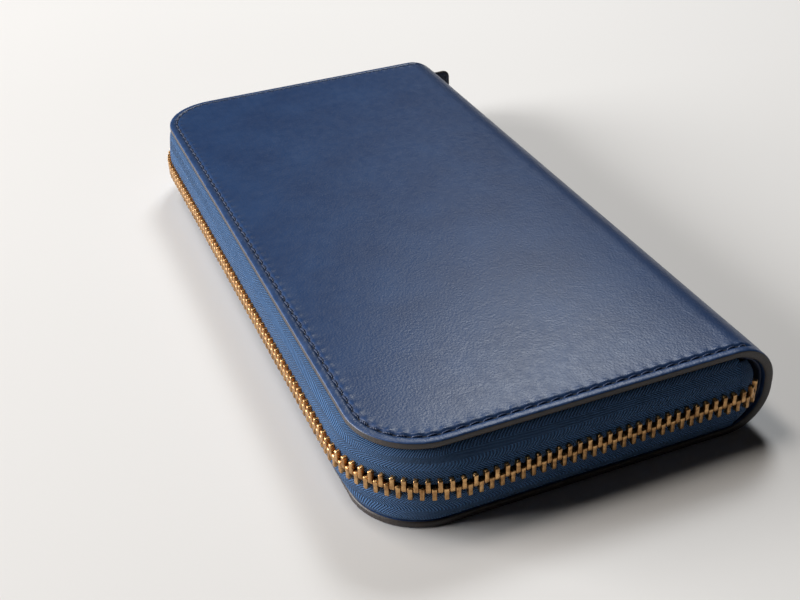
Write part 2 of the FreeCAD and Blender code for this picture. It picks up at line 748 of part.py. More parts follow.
def gusset(node, hand):
    """Cloth folded to and fro between the leaves at one end."""
    inner = value(f"{DIVIDER_HALF} + gusset_clear")
    outer = inner + value("gusset_depth")
    middle = value(MIDDLE)
    top = value(f"{MIDDLE} - cover_leather - core - lining")
    level = value("divider_level")
    folds = [
        (outer, -top),
        (outer, -(top + level) / 2),
        (inner, -level),
        (outer, -level / 2),
        (inner, 0.0),
        (outer, level / 2),
        (inner, level),
        (outer, (top + level) / 2),
        (outer, top),
    ]
    half = value("gusset") / 2
    front = -value(f"{FRONT} - gusset_open")
    there = [V(hand * (x - half), front, middle + z) for x, z in folds]
    back = [V(hand * (x + half), front, middle + z) for x, z in reversed(folds)]
    face = Part.Face(Part.makePolygon(there + back + there[:1]))
    feature = doc.addObject("Part::Feature", node)
    feature.Shape = face.extrude(V(0, value(LEAF_BACK) - front, 0))
    return keep(node, feature)


def coin_binding(node):
    """The closed rim between the coin pocket's walls: both ends and the spine side."""
    body = new_body(node)
    low, depth = span(front_side, "-coin_inside", "coin_inside")
    y = f"({LEAF_BACK} - {COIN_FRONT} + coin_flange + binding_gap) / 2"
    long = f"({LEAF_BACK} + {COIN_FRONT} - coin_flange - binding_gap)"
    add_box(body, "block", f"2 * {COIN_HALF}", long, depth, "0", y, low)
    hole = (f"2 * ({COIN_HALF} - coin_binding)", long, depth)
    add_box(body, "hollow", *hole, "0", f"{y} - coin_binding", low, cut=True)


def coin_tape(node, side):
    """Coin zip tape: an upright strip at the mouth, folded back over the outside of the wall."""
    body = new_body(node)
    outside = "coin_inside + coin_wall"
    low, depth = span(side, "coin_tape_edge", outside)
    lip_y = f"-{COIN_FRONT} - coin_tape / 2"
    add_box(body, "lip", f"2 * {COIN_CHAIN}", "coin_tape", depth, "0", lip_y, low)
    low, depth = span(side, outside, f"{outside} + coin_tape")
    flange = "coin_flange + coin_tape"
    flange_y = f"-{COIN_FRONT} + (coin_flange - coin_tape) / 2"
    add_box(body, "flange", f"2 * {COIN_CHAIN}", flange, depth, "0", flange_y, low)


def coin_teeth(node, upward):
    pitch = value("coin_pitch")
    first = value(f"{COIN_CHAIN} - coin_chain_start") - (0 if upward else pitch / 2)
    stop = -value(f"{COIN_SPOT} - coin_slider_length / 2 - coin_slider_clear")
    count = int((first - stop) / pitch) + 1
    shape = tooth("coin_", upward, "coin_pitch / 2 - ease")
    y = -value(f"{COIN_FRONT} + coin_tape / 2")
    level = value(MIDDLE)
    spots = [V(first - n * pitch, y, level) for n in range(count)]
    return group(node, [placed(shape, point, 180) for point in spots])


def coin_stops(node):
    """Small clamps at both ends of both coin zip tapes, as one group."""
    clamps = []
    wide = value("coin_stop")
    eased = value("coin_tape + 2 * ease")
    edge = value("coin_tape_edge")
    tall = value("coin_tooth_length / 2")
    y = -value(f"{COIN_FRONT} + coin_tape / 2")
    far = value(f"{COIN_CHAIN} - coin_stop")
    for x in (far, -far):
        for hand in (1, -1):
            low = value(MIDDLE) + hand * edge - (0 if hand > 0 else tall)
            block = Part.makeBox(wide, wide, tall, V(x - wide / 2, y - wide / 2, low))
            slot = Part.makeBox(2 * wide, eased, 2 * tall, V(x - wide, y - eased / 2, low - tall / 2))
            clamps += block.cut(slot).Solids
    return group(node, clamps)


# ---------------------------------------------------------------- assembly

LEATHER_IN = f"({MIDDLE} - cover_leather)"
CORE_IN = f"({MIDDLE} - cover_leather - core)"
LINING_IN = f"({MIDDLE} - cover_leather - core - lining)"
PANEL_IN = f"({MIDDLE} - cover_leather - core - lining - panel)"

for half_name, zip_name, half_side in (
    ("back", "lower", back_side),
    ("front", "upper", front_side),
):
    cover(f"{half_name}_cover", half_side)
    stitching(f"{half_name}_stitching", half_side)
    board = inset_outline("tape_inset + tape_flange + board_gap", FLAT_BACK)
    slab(f"{half_name}_board", half_side, CORE_IN, LEATHER_IN, *board)
    lining = inset_outline("lining_inset", FLAT_BACK)
    slab(f"{half_name}_lining", half_side, LINING_IN, CORE_IN, *lining)
    panel_half = f"{HALF} - panel_inset"
    leaf(
        f"{half_name}_card_panel",
        half_side,
        PANEL_IN,
        LINING_IN,
        panel_half,
        f"{FRONT} - panel_open",
        FLAT_BACK,
    )
    card_slots(f"{half_name}_card_slots", half_side)
    main_tape(f"{zip_name}_zip_tape", half_side, (90, 55) if half_side is back_side else (55, 55))
    main_teeth(f"{zip_name}_zip_teeth", half_side is front_side)
    top_stop(f"{zip_name}_top_stop", half_side)
    near, far = "divider_level - divider / 2", "divider_level + divider / 2"
    leaf(f"{half_name}_divider", half_side, near, far, DIVIDER_HALF, f"{FRONT} - divider_open")
    wall = ("coin_inside", "coin_inside + coin_wall", COIN_HALF, COIN_WALL_FRONT)
    leaf(f"coin_pocket_{half_name}", half_side, *wall)
    coin_tape(f"coin_tape_{half_name}", half_side)
    coin_teeth(f"coin_teeth_{half_name}", half_side is front_side)

spine_layer("spine_leather", "0", "cover_leather", "length")
spine_layer(
    "spine_lining",
    "cover_leather + core",
    "cover_leather + core + lining",
    "(length - 2 * lining_inset)",
)
gusset("right_gusset", 1)
gusset("left_gusset", -1)
bottom_stop("zip_bottom_stop")
coin_binding("coin_pocket_binding")
coin_stops("coin_zip_stops")

main_axes = FreeCAD.Rotation(V(0, 1, 0), -90)
main_spot = (f"-({HALF} + chain_out)", SLIDER_SPOT, MIDDLE)
slider("", main_axes, *main_spot)
main_pull(main_axes, *main_spot)
coin_axes = FreeCAD.Rotation(UP, V(-1, 0, 0), V(0, -1, 0), "XYZ")
coin_spot = (f"-{COIN_SPOT}", f"-{COIN_FRONT} - coin_tape / 2", MIDDLE)
slider("coin_", coin_axes, *coin_spot)
coin_pull(coin_axes, *coin_spot)

# ---------------------------------------------------------------- checks and files

doc.recompute()
for thing in doc.Objects:
    if "Invalid" in thing.State or "Error" in thing.State:
        raise ValueError(f"{thing.Name} failed: {thing.State}")
for node, thing in parts.items():
    if thing.Shape.isNull() or not thing.Shape.isValid():
        raise ValueError(f"{node} has no valid shape")

os.makedirs("parts", exist_ok=True)
for node, thing in parts.items():
    thing.Shape.exportStep(f"parts/{node}.step")
print(f"{len(parts)} sub-parts")
pin_out = value("slider_channel + slider_plate + pin_rise")
coin_pin_out = value("coin_tape / 2 + coin_slider_channel + coin_slider_plate + coin_pin_rise")
middle = value(MIDDLE)
axes = {
    "fold": V(0, value("width / 2 - hinge_inset"), middle),
    "main pull": V(
        -value(f"{HALF} + chain_out") - pin_out, value(f"{SLIDER_SPOT} + pin_forward"), middle
    ),
    "coin pull": V(
        -value(f"{COIN_SPOT} + coin_pin_forward"), -value(COIN_FRONT) - coin_pin_out, middle
    ),
}
for name, point in axes.items():
    print(f"{name} axis through {tuple(round(c, 4) for c in point)}")
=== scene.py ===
"""Looks of the long zip around wallet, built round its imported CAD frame.

The builders below work in millimetres in the frame's own axes and turn into metres in Mesh.build.
"""
import math

import bpy
import numpy as np
from mathutils import Matrix, Vector


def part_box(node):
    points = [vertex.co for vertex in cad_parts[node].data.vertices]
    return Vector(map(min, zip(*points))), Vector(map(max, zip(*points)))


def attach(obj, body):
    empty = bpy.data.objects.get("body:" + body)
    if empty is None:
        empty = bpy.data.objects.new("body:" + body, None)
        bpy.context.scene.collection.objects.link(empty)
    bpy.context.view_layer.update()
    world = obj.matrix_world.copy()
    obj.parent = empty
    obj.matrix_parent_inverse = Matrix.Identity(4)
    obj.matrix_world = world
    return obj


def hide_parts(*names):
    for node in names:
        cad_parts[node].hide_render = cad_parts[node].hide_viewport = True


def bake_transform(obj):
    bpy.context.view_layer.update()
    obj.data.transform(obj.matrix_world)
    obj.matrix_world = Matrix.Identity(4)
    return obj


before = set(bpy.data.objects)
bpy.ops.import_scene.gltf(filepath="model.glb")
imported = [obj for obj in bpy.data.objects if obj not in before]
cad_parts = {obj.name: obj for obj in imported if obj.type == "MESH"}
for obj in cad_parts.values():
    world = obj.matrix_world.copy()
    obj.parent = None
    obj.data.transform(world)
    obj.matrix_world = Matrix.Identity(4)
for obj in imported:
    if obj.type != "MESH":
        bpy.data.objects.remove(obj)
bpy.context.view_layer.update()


def span_mm(node):
    low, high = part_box(node)
    return np.array(low) * 1000, np.array(high) * 1000


# ---------------------------------------------------------------- sizes, from the frame

cover_low, cover_high = span_mm("front_cover")
_, spine_high = span_mm("spine_leather")
HALF = cover_high[0]
FRONT = -cover_low[1]
TOP = cover_high[2]
MID = TOP / 2
LEATHER = cover_high[2] - cover_low[2]
FLAT_BACK = cover_high[1]
SPINE_BACK = spine_high[1]
SPINE_R = 11.0  # outside bend of the spine
BEND_Y = SPINE_BACK - SPINE_R
CORNER_R = 17.0  # the cover's round corners
CHAIN_OUT = 1.8  # the chain's middle line, outside the cover's edge
CHAIN_R = 24.0  # the zip's bend round a corner
CHAIN_BACK = FLAT_BACK + 1.4  # where the zip turns in behind the spine
CURL_R = 6.0  # the zip's bend behind the spine
CHAIN_SIDE = CHAIN_BACK + FRONT + CHAIN_OUT - CHAIN_R  # the chain's straight at each end
CHAIN_FRONT = 2 * (HALF + CHAIN_OUT - CHAIN_R)  # its straight along the front
TAPE_EDGE = 1.03  # from the middle of the chain to a tape's edge
TAPE_THICK = 0.46
PITCH = 2.5  # from tooth to tooth in a row
TEETH_CLEAR = 1.6  # free chain behind the slider
TOOTH_HALF = 0.5
FIRST_TOOTH = {"upper": 4.2, "lower": 5.45}  # from the chain's start behind the spine
SEAM = 2.3  # from the cover's edge to its seam
SEAM_END = BEND_Y + 4.2
SPINE_EXTRA = 0.45  # the cover is thicker round the spine
SPINE_GROW = 5.0  # over this much of its bend
QUARTER = math.pi / 2
rng = np.random.default_rng(7)


def smooth(x, low, high):
    t = np.clip((np.asarray(x, float) - low) / (high - low), 0, 1)
    return t * t * (3 - 2 * t)


# ---------------------------------------------------------------- mesh building


class Mesh:
    """Collects vertices in millimetres, faces, two UV sets and a material number per face."""

    def __init__(self):
        self.verts, self.uvs, self.edges, self.faces, self.mats = [], [], [], [], []
        self.count = 0

    def add(self, verts, uv=None, edge=None):
        verts = np.asarray(verts, float).reshape(-1, 3)
        n = len(verts)
        self.verts.append(verts)
        self.uvs.append(np.zeros((n, 2)) if uv is None else np.asarray(uv, float).reshape(-1, 2))
        self.edges.append(np.zeros((n, 2)) if edge is None else np.asarray(edge, float).reshape(-1, 2))
        self.count += n
        return np.arange(self.count - n, self.count)

    def face(self, corners, mat=0):
        self.faces.append([int(c) for c in corners])
        self.mats.append(mat)

    def quads(self, grid, mat=0, wrap=False, flip=False):
        """Faces between the rows of a 2-D array of vertex numbers; wrap closes each row."""
        if wrap:
            grid = np.concatenate([grid, grid[:, :1]], axis=1)
        a, b, c, d = grid[:-1, :-1], grid[:-1, 1:], grid[1:, 1:], grid[1:, :-1]
        cells = np.stack([a, d, c, b] if flip else [a, b, c, d], axis=-1).reshape(-1, 4)
        self.faces.extend(cells.tolist())
        mats = np.broadcast_to(np.asarray(mat), (grid.shape[0] - 1,))
        self.mats.extend(np.repeat(mats, grid.shape[1] - 1).tolist())

    def build(self, name, *materials):
        data = bpy.data.meshes.new(name)
        verts = np.concatenate(self.verts) / 1000
        data.from_pydata(verts.tolist(), [], self.faces)
        for material in materials:
            data.materials.append(material)
        data.polygons.foreach_set("material_index", self.mats)
        data.polygons.foreach_set("use_smooth", [True] * len(data.polygons))
        corner = np.empty(len(data.loops), int)
        data.loops.foreach_get("vertex_index", corner)
        for layer_name, values in (("UVMap", self.uvs), ("Edge", self.edges)):
            layer = data.uv_layers.new(name=layer_name)
            layer.data.foreach_set("uv", np.concatenate(values)[corner].astype(np.float32).ravel())
        data.validate()
        data.update()
        obj = bpy.data.objects.new(name, data)
        bpy.context.scene.collection.objects.link(obj)
        return obj


def finish_piece(obj, body, nodes=()):
    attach(obj, body)
    if nodes:
        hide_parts(*nodes)
    return obj


def directions(line):
    ahead = np.gradient(line, axis=0)
    return ahead / np.linalg.norm(ahead, axis=1)[:, None]


def run_along(points):
    """Distance along a line from its first point to each of its points."""
    return np.concatenate([[0], np.cumsum(np.linalg.norm(np.diff(points, axis=0), axis=1))])


def thickened(line, half):
    """A line in a plane as a closed section, and each point's distance along the line."""
    ahead = directions(line)
    normal = np.column_stack([-ahead[:, 1], ahead[:, 0]]) * half
    run = run_along(line)
    return np.concatenate([line + normal, (line - normal)[::-1]]), np.concatenate([run, run[::-1]])


def tube(mesh, points, radii, sides=8, up=(0, 0, 1)):
    """A capped round strand through points; its UV runs along and around it."""
    points = np.asarray(points, float)
    ahead = directions(points)
    side = np.cross(ahead, up)
    side /= np.linalg.norm(side, axis=1)[:, None]
    over = np.cross(side, ahead)
    turn = np.linspace(0, 2 * math.pi, sides, endpoint=False)
    radii = np.broadcast_to(radii, len(points))[:, None, None]
    rings = points[:, None] + radii * (
        np.cos(turn)[None, :, None] * side[:, None] + np.sin(turn)[None, :, None] * over[:, None]
    )
    uv = np.stack(np.broadcast_arrays(run_along(points)[:, None], turn[None, :]), axis=-1)
    grid = mesh.add(rings, uv).reshape(len(points), sides)
    mesh.quads(grid, wrap=True, flip=True)
    mesh.face(grid[0])
    mesh.face(grid[-1][::-1])


# ---------------------------------------------------------------- materials


class Nodes:
    """Short calls for a material's node tree."""

    def __init__(self, name):
        self.material = bpy.data.materials.new(name)
        self.material.use_nodes = True
        self.tree = self.material.node_tree
        self.shader = self.tree.nodes["Principled BSDF"]

    def node(self, kind, inputs=(), out=0, **settings):
        n = self.tree.nodes.new(kind)
        for key, setting in settings.items():
            setattr(n, key, setting)
        for key, source in dict(inputs).items():
            self.set(n.inputs[key], source)
        return n.outputs[out]

    def set(self, socket, source):
        if isinstance(source, bpy.types.NodeSocket):
            self.tree.links.new(source, socket)
        else:
            socket.default_value = source

    def look(self, **sockets):
        for key, source in sockets.items():
            self.set(self.shader.inputs[key.replace("_", " ")], source)

    def uv(self, layer="UVMap"):
        return self.node("ShaderNodeUVMap", uv_map=layer)

    def place(self):
        """Object coordinates in millimetres."""
        at = self.node("ShaderNodeTexCoord", out=3)
        return self.node("ShaderNodeVectorMath", {0: at, "Scale": 1000.0}, operation="SCALE")

    def split(self, vector):
        n = self.tree.nodes.new("ShaderNodeSeparateXYZ")
        self.set(n.inputs[0], vector)
        return n.outputs[0], n.outputs[1], n.outputs[2]

    def noise(self, at, scale, detail=2.0, rough=0.5):
        inputs = {"Vector": at, "Scale": scale, "Detail": detail, "Roughness": rough}
        return self.node("ShaderNodeTexNoise", inputs)

    def cells(self, at, scale):
        return self.node("ShaderNodeTexVoronoi", {"Vector": at, "Scale": scale})

    def math(self, operation, a, b=0.0, c=0.0):
        return self.node("ShaderNodeMath", {0: a, 1: b, 2: c}, operation=operation)

    def remap(self, x, low, high, to_low=0.0, to_high=1.0):
        inputs = {0: x, 1: low, 2: high, 3: to_low, 4: to_high}
        return self.node("ShaderNodeMapRange", inputs)

    def mix(self, share, a, b):
        n = self.tree.nodes.new("ShaderNodeMix")
        n.data_type = "RGBA"
        for number, source in ((0, share), (6, a), (7, b)):
            self.set(n.inputs[number], source)
        return n.outputs[2]

    def bump(self, height, distance_mm, strength):
        inputs = {"Height": height, "Distance": distance_mm / 1000, "Strength": strength}
        return self.node("ShaderNodeBump", inputs)


def rgb(r, g, b):
    return (r, g, b, 1.0)


def leather(name, dark, light, gloss, grain=1.7, lift=0.035):
    """Fine pebble grain, slow changes of tone, and a patchy painted highlight along the rim."""
    m = Nodes(name)
    at = m.uv()
    distance, _, _ = m.split(m.uv("Edge"))
    tone = m.noise(at, 0.055, 3.0, 0.55)
    fine = m.noise(at, 2.4, 3.0, 0.6)
    pebble = m.cells(at, grain)
    crease = m.noise(at, 0.35, 4.0, 0.62)
    share = m.math("MULTIPLY_ADD", fine, 0.3, m.remap(tone, 0.3, 0.7, 0.0, 0.7))
    colour = m.mix(share, rgb(*dark), rgb(*light))
    # painted highlight: the colour lightens within 1.5 mm of the edge, in patches, in place of the rim's
    # highlight
    rim_highlight = m.remap(distance, 0.0, 1.5, 0.55, 0.0)
    rim_highlight = m.math("MULTIPLY", rim_highlight, m.remap(crease, 0.35, 0.75))
    highlight_colour = tuple(min(1.0, c * 2.1 + 0.02) for c in light)
    m.look(Base_Color=m.mix(rim_highlight, colour, rgb(*highlight_colour)))
    rough = m.math("MULTIPLY_ADD", crease, 0.22, gloss - 0.11)
    m.look(Roughness=m.math("MULTIPLY_ADD", fine, 0.08, rough))
    height = m.math("MULTIPLY_ADD", pebble, 1.0, m.math("MULTIPLY", fine, 0.7))
    height = m.math("MULTIPLY_ADD", crease, 0.8, height)
    m.look(Normal=m.bump(height, lift, 0.9))
    m.shader.inputs["Specular IOR Level"].default_value = 0.32
    return m.material


def cut_edge(name):
    """Painted and burnished leather edge: brown layers, glossy in patches."""
    m = Nodes(name)
    fibre = m.noise(m.uv(), 3.0, 4.0, 0.65)
    patch = m.noise(m.uv(), 0.3, 2.0)
    colour = m.mix(m.remap(fibre, 0.3, 0.7), rgb(0.013, 0.009, 0.008), rgb(0.06, 0.042, 0.035))
    m.look(Base_Color=m.mix(m.remap(patch, 0.35, 0.7), colour, rgb(0.022, 0.02, 0.022)))
    m.look(Roughness=m.remap(fibre, 0.2, 0.8, 0.4, 0.6))
    m.look(Normal=m.bump(fibre, 0.08, 0.9))
    m.shader.inputs["Coat Weight"].default_value = 0.12
    m.shader.inputs["Coat Roughness"].default_value = 0.3
    return m.material


def woven_tape(name, dark, light):
    """Herringbone tape: raised diagonal ribs that turn every few ribs, from the UV along and across."""
    m = Nodes(name)
    along, across, _ = m.split(m.uv())
    zigzag = m.math("PINGPONG", across, 2.0)
    lean = m.math("MULTIPLY_ADD", zigzag, 1.25, along)
    rib = m.math("SINE", m.math("MULTIPLY", lean, 2 * math.pi / 0.8))
    yarn = m.math("SINE", m.math("MULTIPLY", across, 2 * math.pi / 0.3))
    weave = m.math("MULTIPLY_ADD", yarn, 0.3, rib)
    fuzz = m.noise(m.uv(), 5.0, 3.0, 0.7)
    tone = m.noise(m.uv(), 0.12, 2.0)
    share = m.math("MULTIPLY_ADD", fuzz, 0.35, m.remap(weave, -1.1, 1.2, -0.15, 0.8))
    share = m.math("MULTIPLY_ADD", tone, 0.25, share)
    m.look(Base_Color=m.mix(share, rgb(*dark), rgb(*light)))
    m.look(Roughness=m.remap(fuzz, 0.2, 0.8, 0.62, 0.85))
    m.look(Normal=m.bump(m.math("MULTIPLY_ADD", fuzz, 0.5, weave), 0.16, 1.0))
    m.shader.inputs["Sheen Weight"].default_value = 0.06
    m.shader.inputs["Sheen Roughness"].default_value = 0.4
    m.shader.inputs["Specular IOR Level"].default_value = 0.25
    return m.material


def lining_cloth(name, dark, light):
    """Fine plain weave."""
    m = Nodes(name)
    along, across, _ = m.split(m.uv())
    warp = m.math("SINE", m.math("MULTIPLY", along, 2 * math.pi / 0.5))
    weft = m.math("SINE", m.math("MULTIPLY", across, 2 * math.pi / 0.5))
    weave = m.math("MULTIPLY", warp, weft)
    slub = m.noise(m.uv(), 0.8, 3.0, 0.6)
    share = m.math("MULTIPLY_ADD", slub, 0.8, m.remap(weave, -1, 1, -0.3, 0.4))
    m.look(Base_Color=m.mix(share, rgb(*dark), rgb(*light)))
    m.look(Roughness=m.remap(slub, 0.3, 0.7, 0.6, 0.78))
    m.look(Normal=m.bump(m.math("MULTIPLY_ADD", slub, 0.8, weave), 0.05, 0.8))
    m.shader.inputs["Sheen Weight"].default_value = 0.05
    return m.material


def brass(name, dull, bright):
    """Antique brass: polished where it is handled, brown in patches, finely scratched."""
    m = Nodes(name)
    at = m.place()
    patina = m.noise(at, 0.55, 4.0, 0.6)
    grain = m.noise(at, 6.0, 2.0, 0.6)
    share = m.remap(m.math("MULTIPLY_ADD", grain, 0.35, patina), 0.45, 0.85)
    m.look(Base_Color=m.mix(share, rgb(*dull), rgb(*bright)))
    m.look(Roughness=m.remap(patina, 0.3, 0.7, 0.46, 0.26))
    m.look(Normal=m.bump(grain, 0.02, 0.6))
    m.shader.inputs["Metallic"].default_value = 1.0
    return m.material


def thread_material(name, dark, light):
    """Twisted waxed thread."""
    m = Nodes(name)
    along, around, _ = m.split(m.uv())
    twist = m.math("MULTIPLY_ADD", along, 2 * math.pi / 0.55, m.math("MULTIPLY", around, 2.0))
    ply = m.math("SINE", twist)
    fuzz = m.noise(m.uv(), 4.0, 2.0)
    share = m.math("MULTIPLY_ADD", fuzz, 0.4, m.remap(ply, -1, 1, 0.0, 0.6))
    m.look(Base_Color=m.mix(share, rgb(*dark), rgb(*light)))
    m.look(Roughness=m.remap(fuzz, 0.2, 0.8, 0.42, 0.6))
    m.look(Normal=m.bump(ply, 0.06, 0.8))
    return m.material


def board_material(name):
    """Bonded leather fibre board, inside the covers."""
    m = Nodes(name)
    fibre = m.noise(m.place(), 1.4, 5.0, 0.7)
    m.look(Base_Color=m.mix(fibre, rgb(0.26, 0.22, 0.18), rgb(0.42, 0.38, 0.32)))
    m.look(Roughness=m.remap(fibre, 0.2, 0.8, 0.75, 0.95))
    m.look(Normal=m.bump(fibre, 0.08, 0.7))
    return m.material


COVER = leather("cover_leather_look", (0.0115, 0.031, 0.092), (0.019, 0.050, 0.134), 0.33)
TAB = leather("tab_leather_look", (0.010, 0.017, 0.042), (0.016, 0.028, 0.064), 0.45)
LINING = leather("lining_leather_look", (0.012, 0.019, 0.042), (0.02, 0.03, 0.062), 0.6, 2.6, 0.025)
EDGE = cut_edge("leather_edge_look")
# painted shade: near-black leather for the blobs that stand in for the shade inside the stitch holes
HOLE_SHADE = leather("stitch_hole_shade_look", (0.004, 0.006, 0.012), (0.008, 0.011, 0.02), 0.7)
TAPE = woven_tape("zip_tape_look", (0.004, 0.015, 0.05), (0.058, 0.16, 0.36))
CLOTH = lining_cloth("inner_cloth_look", (0.008, 0.018, 0.055), (0.022, 0.044, 0.115))
BRASS = brass("zip_brass_look", (0.25, 0.12, 0.045), (0.68, 0.41, 0.18))
THREAD = thread_material("thread_look", (0.007, 0.017, 0.052), (0.026, 0.05, 0.125))
BOARD = board_material("board_look")


# ---------------------------------------------------------------- covers and spine in one


class Fold:
    """A sheet folded round the spine. V runs from the front cover's front edge, over the spine,
    to the back cover's front edge; depth is how far the sheet lies inside the cover's face."""

    def __init__(self, depth, inset):
        self.depth = depth
        self.half = HALF - inset
        self.radius = CORNER_R - inset
        self.front = FRONT - inset
        self.flat = self.front + BEND_Y
        self.bend = SPINE_R - depth
        self.arc = self.bend * QUARTER
        self.rise = TOP - 2 * SPINE_R
        self.total = 2 * self.flat + 2 * self.arc + self.rise

    def point(self, x, v, out):
        """Point in space; out is outward from the sheet's outer face."""
        x, v, out = np.broadcast_arrays(np.asarray(x, float), v, out)
        back = v > self.total / 2
        w = np.where(back, self.total - v, v)
        turn = np.clip((w - self.flat) / self.bend, 0, QUARTER)
        flat = np.minimum(w, self.flat)
        up = np.maximum(w - self.flat - self.arc, 0)
        reach = self.bend + out
        y = flat - self.front + reach * np.sin(turn)
        z = TOP - SPINE_R + reach * np.cos(turn) - up
        return np.stack([x, y, np.where(back, TOP - z, z)], axis=-1)


def loop_samples(half, low, high, radius, n_side, n_end, n_turn):
    """Round a rectangle with round corners: point, inward normal and coarse corner of each sample.
    The coarse corner is a (row, column) in the grid inside the corners, or None."""
    points, inward, inside = [], [], []
    rows, cols = n_side // 3, n_end // 3
    runs = (
        ((half, low + radius), (0, 1), (-1, 0), high - low - 2 * radius, n_side),
        ((half - radius, high), (-1, 0), (0, -1), 2 * (half - radius), n_end),
        ((-half, high - radius), (0, -1), (1, 0), high - low - 2 * radius, n_side),
        ((radius - half, low), (1, 0), (0, 1), 2 * (half - radius), n_end),
    )
    corners = ((half - radius, high - radius), (radius - half, high - radius),
               (radius - half, low + radius), (half - radius, low + radius))
    grid_at = (
        lambda k: (k, 0),
        lambda k: (rows, k),
        lambda k: (rows - k, cols),
        lambda k: (0, cols - k),
    )
    for side, (start, ahead, inwards, length, count) in enumerate(runs):
        for k in range(count):
            t = length * k / count
            points.append((start[0] + ahead[0] * t, start[1] + ahead[1] * t))
            inward.append(inwards)
            inside.append(grid_at[side](k // 3) if k % 3 == 0 else None)
        last = grid_at[side](count // 3)
        for k in range(n_turn):
            a = (side + k / n_turn) * QUARTER
            direction = (math.cos(a), math.sin(a))
            centre = corners[side]
            points.append((centre[0] + radius * direction[0], centre[1] + radius * direction[1]))
            inward.append((-direction[0], -direction[1]))
            inside.append(last)
    return np.array(points), np.array(inward), inside


def shell(mesh, fold, rows, height, under, n_side, n_end, n_turn, edge_rows=()):
    """A closed folded sheet. rows are (inset, out) from the underside over the rim to the face."""
    points, inward, inside = loop_samples(
        fold.half, 0, fold.total, fold.radius, n_side, n_end, n_turn
    )
    n = len(points)
    rings = []
    for inset, out in rows:
        at = points + inward * inset
        x, v = at[:, 0], at[:, 1]
        xyz = fold.point(x, v, height(x, v, inset, out))
        edge = np.stack([np.full(n, inset), v], axis=-1)
        rings.append(mesh.add(xyz, at, edge))
    rings = np.array(rings)
    mats = [1 if k in edge_rows else 0 for k in range(len(rows) - 1)]
    mesh.quads(rings, mats, wrap=True)
    x = np.linspace(fold.half - fold.radius, fold.radius - fold.half, n_end // 3 + 1)
    v = np.linspace(fold.radius, fold.total - fold.radius, n_side // 3 + 1)
    gx, gv = np.meshgrid(x, v)
    for face_out, ring, flip in ((True, rings[-1], True), (False, rings[0], False)):
        out = height(gx, gv, fold.radius, None) if face_out else -under(gx, gv)
        xyz = fold.point(gx, gv, out)
        far = np.stack([np.full(gx.shape, fold.radius), gv], axis=-1)
        grid = mesh.add(xyz, np.stack([gx, gv], axis=-1), far).reshape(gx.shape)
        mesh.quads(grid, 0, flip=flip)
        close(mesh, ring, grid, inside, flip)


def close(mesh, ring, grid, inside, flip):
    """Joins a fine ring to the coarse grid inside it, three fine edges to a coarse one."""
    n = len(ring)
    i = 0
    while i < n:
        here = inside[i]
        if inside[(i + 1) % n] is not None:
            corners = [ring[i], ring[(i + 1) % n], grid[here]]
            step = 1
        else:
            there = inside[(i + 3) % n]
            corners = [ring[(i + k) % n] for k in range(4)] + [grid[there], grid[here]]
            step = 3
        mesh.face(corners if flip else corners[::-1])
        i += step


# The seam's own measure runs from 0 at its right end, by the spine, round to its left end.
seam_r = CORNER_R - SEAM
seam_run = SEAM_END + FRONT - CORNER_R
seam_front = 2 * (HALF - CORNER_R)
seam_total = 2 * seam_run + 2 * seam_r * QUARTER + seam_front
STITCHES = 112
STITCH = seam_total / STITCHES


def seam_measure(x, y):
    """Distance along the seam of the point of it next to (x, y)."""
    x, y = np.asarray(x, float), np.asarray(y, float)
    cx, cy = HALF - CORNER_R, CORNER_R - FRONT
    turn = np.arctan2(-(y - cy), np.abs(x) - cx)
    first = SEAM_END - y
    corner = seam_run + seam_r * turn
    front = seam_run + seam_r * QUARTER + (cx - np.abs(x))
    half_way = np.where(y >= cy, first, np.where(np.abs(x) > cx, corner, front))
    return np.where(x >= 0, half_way, seam_total - half_way)


def seam_point(s):
    """Point on the seam and its direction, in the cover's plane."""
    mirror = s > seam_total / 2
    s = seam_total - s if mirror else s
    cx, cy = HALF - CORNER_R, CORNER_R - FRONT
    if s < seam_run:
        p, d = (cx + seam_r, SEAM_END - s), (0, -1)
    elif s < seam_run + seam_r * QUARTER:
        a = (s - seam_run) / seam_r
        p, d = (cx + seam_r * math.cos(a), cy - seam_r * math.sin(a)), (-math.sin(a), -math.cos(a))
    else:
        p, d = (cx - (s - seam_run - seam_r * QUARTER), cy - seam_r), (-1, 0)
    return ((-p[0], p[1]), (d[0], -d[1])) if mirror else (p, d)


def dome(x, y):
    """The padded front cover's rise, with slow unevenness."""
    across = 1 - np.abs(x / HALF) ** 5
    deep = 1 - np.clip(np.abs((y + 6.0) / (BEND_Y + 6.0)), 0, 1) ** 3.5
    ripple = 0.5 * np.sin(x / 23.0 + 0.6) * np.sin(y / 17.0 + 1.1) + 0.5 * np.sin(x / 41.0 - y / 29.0)
    return np.clip(across * deep, 0, 1) * (0.95 + 0.16 * ripple)


COVER_ROWS = [
    (0.75, -LEATHER), (0.32, -LEATHER + 0.07), (0.1, -LEATHER + 0.24), (0.0, -LEATHER + 0.5),
    (0.0, -0.95), (0.0, -0.45), (0.06, -0.24), (0.2, -0.09), (0.42, -0.02), (0.7, 0.0),
    (1.1, 0.0), (1.5, -0.02), (1.8, -0.08), (2.0, -0.18), (2.15, -0.27), (2.3, -0.3),
    (2.45, -0.27), (2.62, -0.17), (2.85, -0.06), (3.15, 0.01), (3.6, 0.04), (4.4, 0.05),
    (6.0, 0.05), (9.0, 0.05), (12.8, 0.05),
]
cover_fold = Fold(0.0, 0.0)


